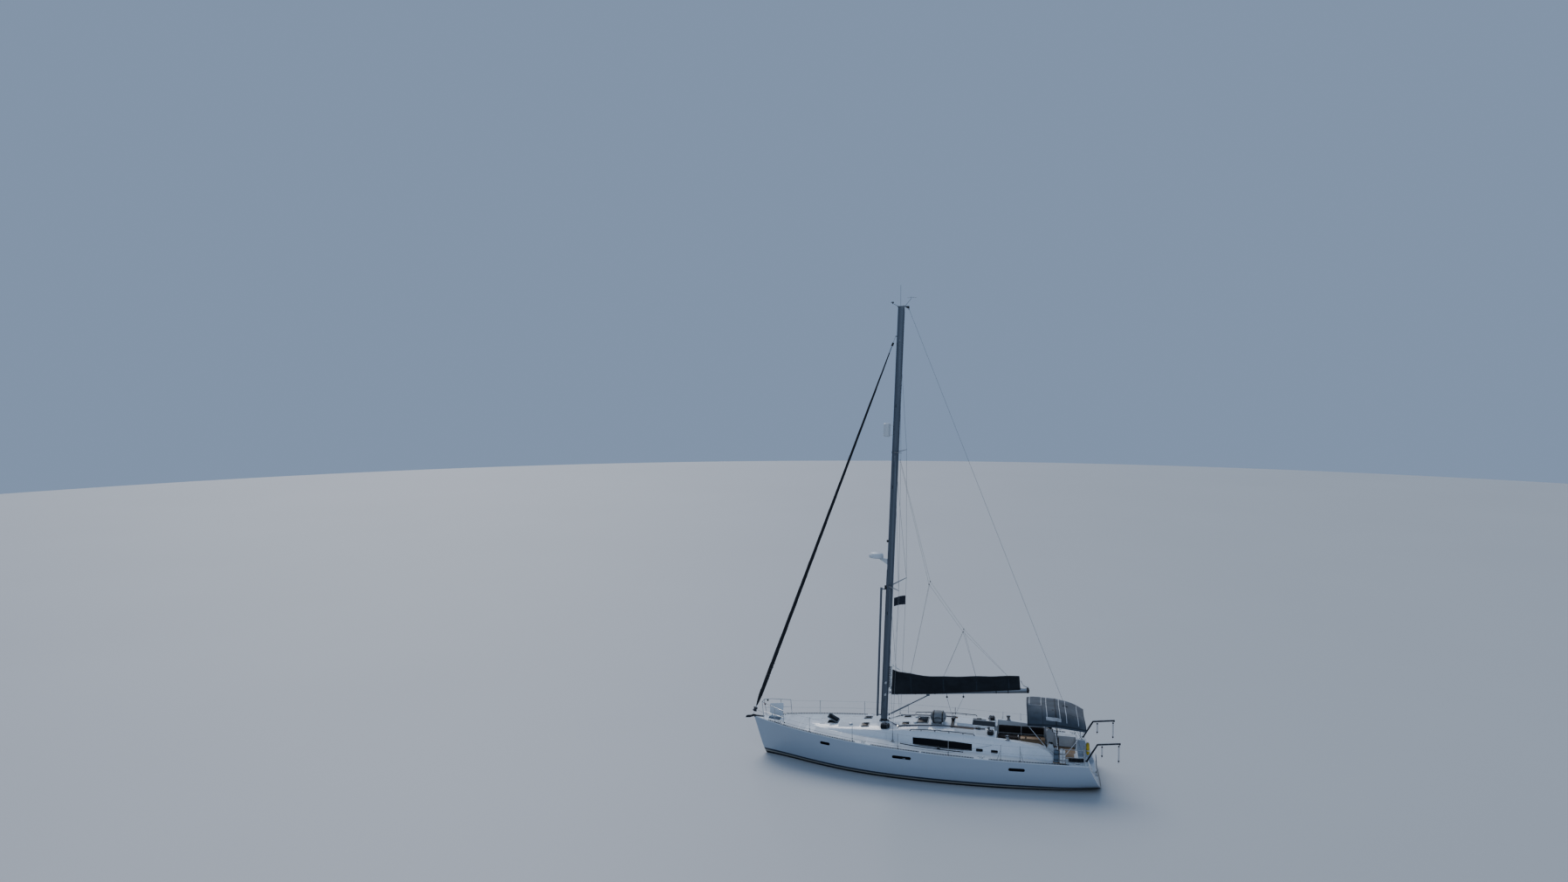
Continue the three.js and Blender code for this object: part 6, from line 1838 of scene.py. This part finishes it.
@atOnce
def makeFlag():
    shape = Shape("flagCloth")
    x, y, z = flag["hoist"]
    wide, tall = flag["size"]

    def spot(u, v):
        droop = 0.1 * u**1.6
        sway = flag["waves"] * sin(u * 8.5 + v * 1.4) * u**0.6 + 0.012 * wave(u * 3, v * 3, 1)
        return (x + u * wide * 0.94, y + sway, z + tall * v * (1 - 0.06 * u) - droop)

    shape.cloth(spot, 40, 26, 0.0016)
    piece = shape.piece("courtesy_flag", slot="dark_canvas", sharp=80)
    line = Shape("ropeWhite")
    top, foot = Vector((0.8, 1, 7.86)), onTop(1.38, 1.3)
    for dx in (0, 0.045):
        a, b = top + Vector((dx, 0, 0)), foot + Vector((dx, 0, 0))
        path = []
        for t in spaced(0, 1, 40):
            p = a.lerp(b, t)
            if dx == 0:
                near = exp(-((p.z - 7.45) / 0.33) ** 2)
                p = p.lerp(Vector((x - 0.004, y, p.z)), near)
            path.append(p)
        line.tube(path, 0.0022, 5)
    line.piece("flag_halyard", slot="grey_canvas")


mastFoot, mastTop = Vector((1.65, 0, 1.846)), Vector((0.96, 0, 19.79))
mastWay = (mastTop - mastFoot).normalized()
mastFore = Vector((mastWay.z, 0, -mastWay.x))


def onMast(z, ahead, side):
    return mastFoot + mastWay * ((z - mastFoot.z) / mastWay.z) + mastFore * ahead + Vector((0, side, 0))


mastGear = {
    # halyards: finish, upper end's height and side, distance forward, lower end's height and side
    "halyards": [("ropeWhite", 19.7, 0.024, -0.15, 2.02, 0.1), ("ropeNavy", 18.3, 0.115, 0.12, 2, 0.13),
                 ("ropeRed", 18.28, -0.115, 0.12, 2, -0.13), ("ropeGrey", 13.2, 0.095, 0.02, 2.05, 0.16)],
    "halfLong": 0.14, "halfWide": 0.075,
    "track": [(0.006, 0.014), (-0.01, 0.014), (-0.016, 0.009), (-0.016, -0.009), (-0.01, -0.014),
              (0.006, -0.014)],
    "poleTrack": [(-0.006, 0.016), (0.012, 0.016), (0.012, -0.016), (-0.006, -0.016)],
    "winches": [(3.02, 1), (3.02, -1), (3.55, 1)],
    "drum": [(0.05, 0.018), (0.048, 0.026), (0.034, 0.034), (0.033, 0.07), (0.044, 0.08), (0.045, 0.09),
             (0.022, 0.094), (0, 0.094)],
    "collar": [(0.02, 1.83), (0.022, 1.88), (0.012, 1.905), (0.001, 1.915)],
    # the turning blocks round its foot: distance forward and outwards
    "footBlocks": [(-0.22, 0.17), (-0.05, 0.17), (0.1, 0.15)],
    "lamp": [(0, -0.05), (0.04, -0.05), (0.048, -0.02), (0.048, 0.02), (0.03, 0.04), (0, 0.045)],
    "exits": [6.6, 12.1, 15.6],
}


@atOnce
def makeMastGear():
    halfLong, halfWide = mastGear["halfLong"], mastGear["halfWide"]
    track = Shape("black")
    rings = []
    for z in spaced(3.3, 19.6, 30):
        rings.append([onMast(z, u - halfLong, v) for u, v in mastGear["track"]])
    track.use("mastAlloy").skin(rings)
    for z, sign in mastGear["winches"]:  # halyard winches on the mast's sides
        spot = onMast(z, -0.02, sign * 0.07)
        track.use("railAlloy").lathe([(0.055, -0.006), (0.055, 0.012), (0.046, 0.02)], 26, spot, (0, sign, 0))
        track.use("steel").lathe(mastGear["drum"], 30, spot, (0, sign, 0))
    for z in (2.35, 2.75):
        for sign in (1, -1):
            spot = onMast(z, 0.03, sign * 0.074)
            horns = [spot + Vector((0, sign * 0.022, dz)) for dz in (-0.075, -0.03, 0.03, 0.075)]
            track.use("black").tube(curved(horns, 3), 0.008, 8)
            track.box(spot, (-0.012, -0.006, -0.022), (0.012, 0.006 + sign * 0.016, 0.022), 0.003)
    collar = []
    for grow, z in mastGear["collar"]:
        long, wide = halfLong + grow, halfWide + grow
        collar.append([onMast(z, long * cos(t), wide * sin(t)) for t in circle(36)])
    track.use("rubber").skin(collar)
    for dx, out in mastGear["footBlocks"]:
        for sign in (1, -1):
            foot = onTop(mastFoot.x + dx, sign * out)
            blockAt(track, foot + raised(0.045), 0.03)
            track.use("steel").lathe([(0.024, -0.004), (0.022, 0.006), (0.01, 0.012),
                                      (0.008, 0.03)], 16, foot)
    lamp = onMast(9.75, 0.15, 0) + Vector((0.02, 0, 0))
    track.use("black").lathe(mastGear["lamp"], 26, lamp)
    track.use("clearLens").lathe([(0, -0.058), (0.036, -0.054), (0.041, -0.048), (0, -0.048)], 26, lamp)
    for z in mastGear["exits"]:  # line exits
        for sign in (1, -1):
            spot = onMast(z, 0.05, sign * 0.066)
            track.use("railAlloy").box(spot, (-0.012, -0.004, -0.07), (0.012, 0.008, 0.07), 0.003)
    track.use("black").box(onMast(7.72, 0.145, 0), (-0.02, -0.035, -0.09), (0.07, 0.035, 0.09), 0.008)
    rings = [[onMast(z, halfLong + u, v) for u, v in mastGear["poleTrack"]] for z in spaced(2.05, 8.5, 12)]
    track.use("railAlloy").skin(rings)
    track.piece("mast_fittings", slot="black_plastic")
    for k, (finish, top, side, ahead, low, foot) in enumerate(mastGear["halyards"]):
        line = Shape(finish)
        a, b = onMast(top, ahead, side), onMast(low, ahead, foot)
        line.tube([a.lerp(b, t) for t in spaced(0, 1, 24)], 0.0055, 6)
        line.piece(f"halyard_{k + 1}", slot="grey_canvas")


@atOnce
def makeMastHead():
    shape = Shape("black")
    hub = Vector((1.33, 0, 19.985))
    cup = [(0, -0.018), (0.01, -0.016), (0.016, -0.008), (0.018, 0.004), (0.016, 0.004), (0.013, -0.006),
           (0, -0.013)]
    for angle in circle(3):  # wind cups on their arms
        a = angle + 0.4
        tip = hub + Vector((0.052 * cos(a), 0.052 * sin(a), 0))
        shape.use("black").tube([hub, tip], 0.003, 6)
        facing = Vector((-sin(a), cos(a), 0))
        shape.lathe(cup, 16, tip, facing)
    light = Vector((0.86, 0, 19.8))
    shape.use("black").lathe([(0.034, 0), (0.036, 0.02), (0.03, 0.026)], 22, light)
    lens = [(0.03, 0.026), (0.032, 0.03), (0.032, 0.07), (0.026, 0.082), (0, 0.084)]
    shape.use("clearLens").lathe(lens, 22, light)
    shape.piece("masthead_fittings", slot="black_plastic")


wireFittings = {"posts": [4.73, 2.77, 0.81, -1.29, -3.4, -4.17], "inset": 0.065}


@bothSides
def makeStanchionFeet(side, sign):
    shape = Shape("steel")
    for x in wireFittings["posts"]:
        edge = edgeOf(x, sign)
        foot = onTop(x, edge.y - sign * wireFittings["inset"])
        shape.lathe([(0.036, -0.005), (0.035, 0.005), (0.021, 0.01), (0.019, 0.06),
                     (0.0175, 0.064)], 22, foot)
        shape.lathe([(0.014, 0.615), (0.015, 0.622), (0.012, 0.632), (0, 0.635)], 18, foot)
    spot = onTop(1.1, sign * 1.44)  # the plate round the shrouds' feet
    outline = [(spot.x + u, spot.y + v) for u, v in rounded(0.1, 0.035, 0.012)]
    shape.plate(outline, spot.z - 0.004, spot.z + 0.008, 0.002)
    shape.piece(f"stanchion_feet_{side}", slot="steel")


navLights = {"bow": [("redLens", 1), ("greenLens", -1)], "stern": (-6.735, -1.31, 1.78)}


@atOnce
def makeNavLights():
    shape = Shape("black")
    for finish, sign in navLights["bow"]:
        spot = Vector((6.95, sign * 0.26, 2.3))
        shape.use("black").box(spot, (-0.035, -0.022, -0.04), (0.02, 0.022, 0.04), 0.006)
        shape.use(finish).box(spot, (0.004, -0.019, -0.03), (0.04, 0.019, 0.03), 0.01, 3)
    spot = Vector(navLights["stern"])
    shape.use("black").box(spot, (-0.02, -0.022, -0.035), (0.02, 0.022, 0.035), 0.006)
    shape.use("clearLens").box(spot, (-0.034, -0.018, -0.026), (0, 0.018, 0.026), 0.008, 3)
    shape.piece("nav_lights", slot="black_plastic")


# Canvas bags for the tails of the halyards, at the mast and by the companionway
tailBags = {
    "places": [("mast", (1.5, 0.78), (0.19, 0.19, 0.15)),
               ("companion_port", (-2.95, 0.92), (0.13, 0.2, 0.12)),
               ("companion_starboard", (-2.95, -0.92), (0.13, 0.2, 0.12))],
    # share of the height, share of the width
    "sides": [(0, 0.86), (0.1, 0.98), (0.4, 1.04), (0.75, 1), (0.95, 0.9), (1, 0.78)],
}


@atOnce
def makeTailBags():
    for name, (x, y), (halfX, halfY, tall) in tailBags["places"]:
        shape = Shape("bagCloth")
        base = onTop(x, y)
        rings = []
        for share, grow in tailBags["sides"]:
            ring = []
            for t in circle(40):
                u = copysign(abs(cos(t)) ** 0.55, cos(t)) * halfX * grow
                v = copysign(abs(sin(t)) ** 0.55, sin(t)) * halfY * grow
                dent = 1 + 0.06 * wave(cos(t) * 2 + x, sin(t) * 2 + y, share * 2)
                foot = onTop(x + u * 0.9, y + v * 0.9)
                low = (foot.z if foot else base.z) * (1 - share)
                z = low + (base.z + tall) * share - (0.006 if share == 0 else 0)
                ring.append((x + u * dent, y + v * dent, z))
            rings.append(ring)
        shape.skin(rings)
        for k in range(7):  # loops of rope show over its edge
            angle = k * 0.9 + x
            cx, cy = x + 0.05 * cos(angle), y + 0.06 * sin(angle)
            top = base.z + tall + 0.012
            loop = [(cx + 0.065 * cos(t), cy + 0.085 * sin(t), top + 0.01 * sin(2 * t + k))
                    for t in circle(20)]
            shape.use(("ropeNavy", "ropeGrey", "ropeWhite")[k % 3]).tube(loop, 0.006, 6, True)
        piece = shape.piece(f"tail_bag_{name}", slot="dark_canvas", sharp=60)


print("rig dressed")

# Floor and light: a plain pale floor at the waterline under a soft sky
studio = {
    "floorRadius": 160, "floorColour": (0.46, 0.49, 0.52), "sky": (0.52, 0.68, 0.95), "strength": 0.42,
    "suns": [((46, 0, 33), 1.6, 0.7, (1, 0.94, 0.88)), ((58, 0, 190), 0.4, 0.9, (0.8, 0.89, 1))],
}


def makeStudio():
    floor = Shape("floor")
    count, radius = 96, studio["floorRadius"]
    ring = [(radius * cos(a), radius * sin(a), 0) for a in circle(count)]
    floor.add(ring + [(0, 0, 0)], [[i, (i + 1) % count, count] for i in range(count)])
    floor.piece("floor", body=None)
    for turn, strength, softness, colour in studio["suns"]:
        light = bpy.data.lights.new("softLight", "SUN")
        light.energy, light.angle, light.color = strength, softness, colour
        lamp = bpy.data.objects.new("softLight", light)
        lamp.rotation_euler = [radians(a) for a in turn]
        bpy.context.scene.collection.objects.link(lamp)
    world = bpy.data.worlds.new("softSky")
    world.use_nodes = True
    sky = world.node_tree.nodes["Background"]
    sky.inputs["Color"].default_value = (*studio["sky"], 1)
    sky.inputs["Strength"].default_value = studio["strength"]
    bpy.context.scene.world = world


finishes["floor"] = Finish("floorPaint", studio["floorColour"], 0.6)
floorPaint = finishes["floor"]
floorTone = floorPaint.mix(floorPaint.cloud(0.05), studio["floorColour"], shade(studio["floorColour"], 0.94))
floorPaint.show({"Base Color": floorTone})
makeStudio()
bpy.context.scene.view_settings.view_transform = "AgX"
bpy.context.scene.view_settings.look = "AgX - Medium High Contrast"
print("studio set")
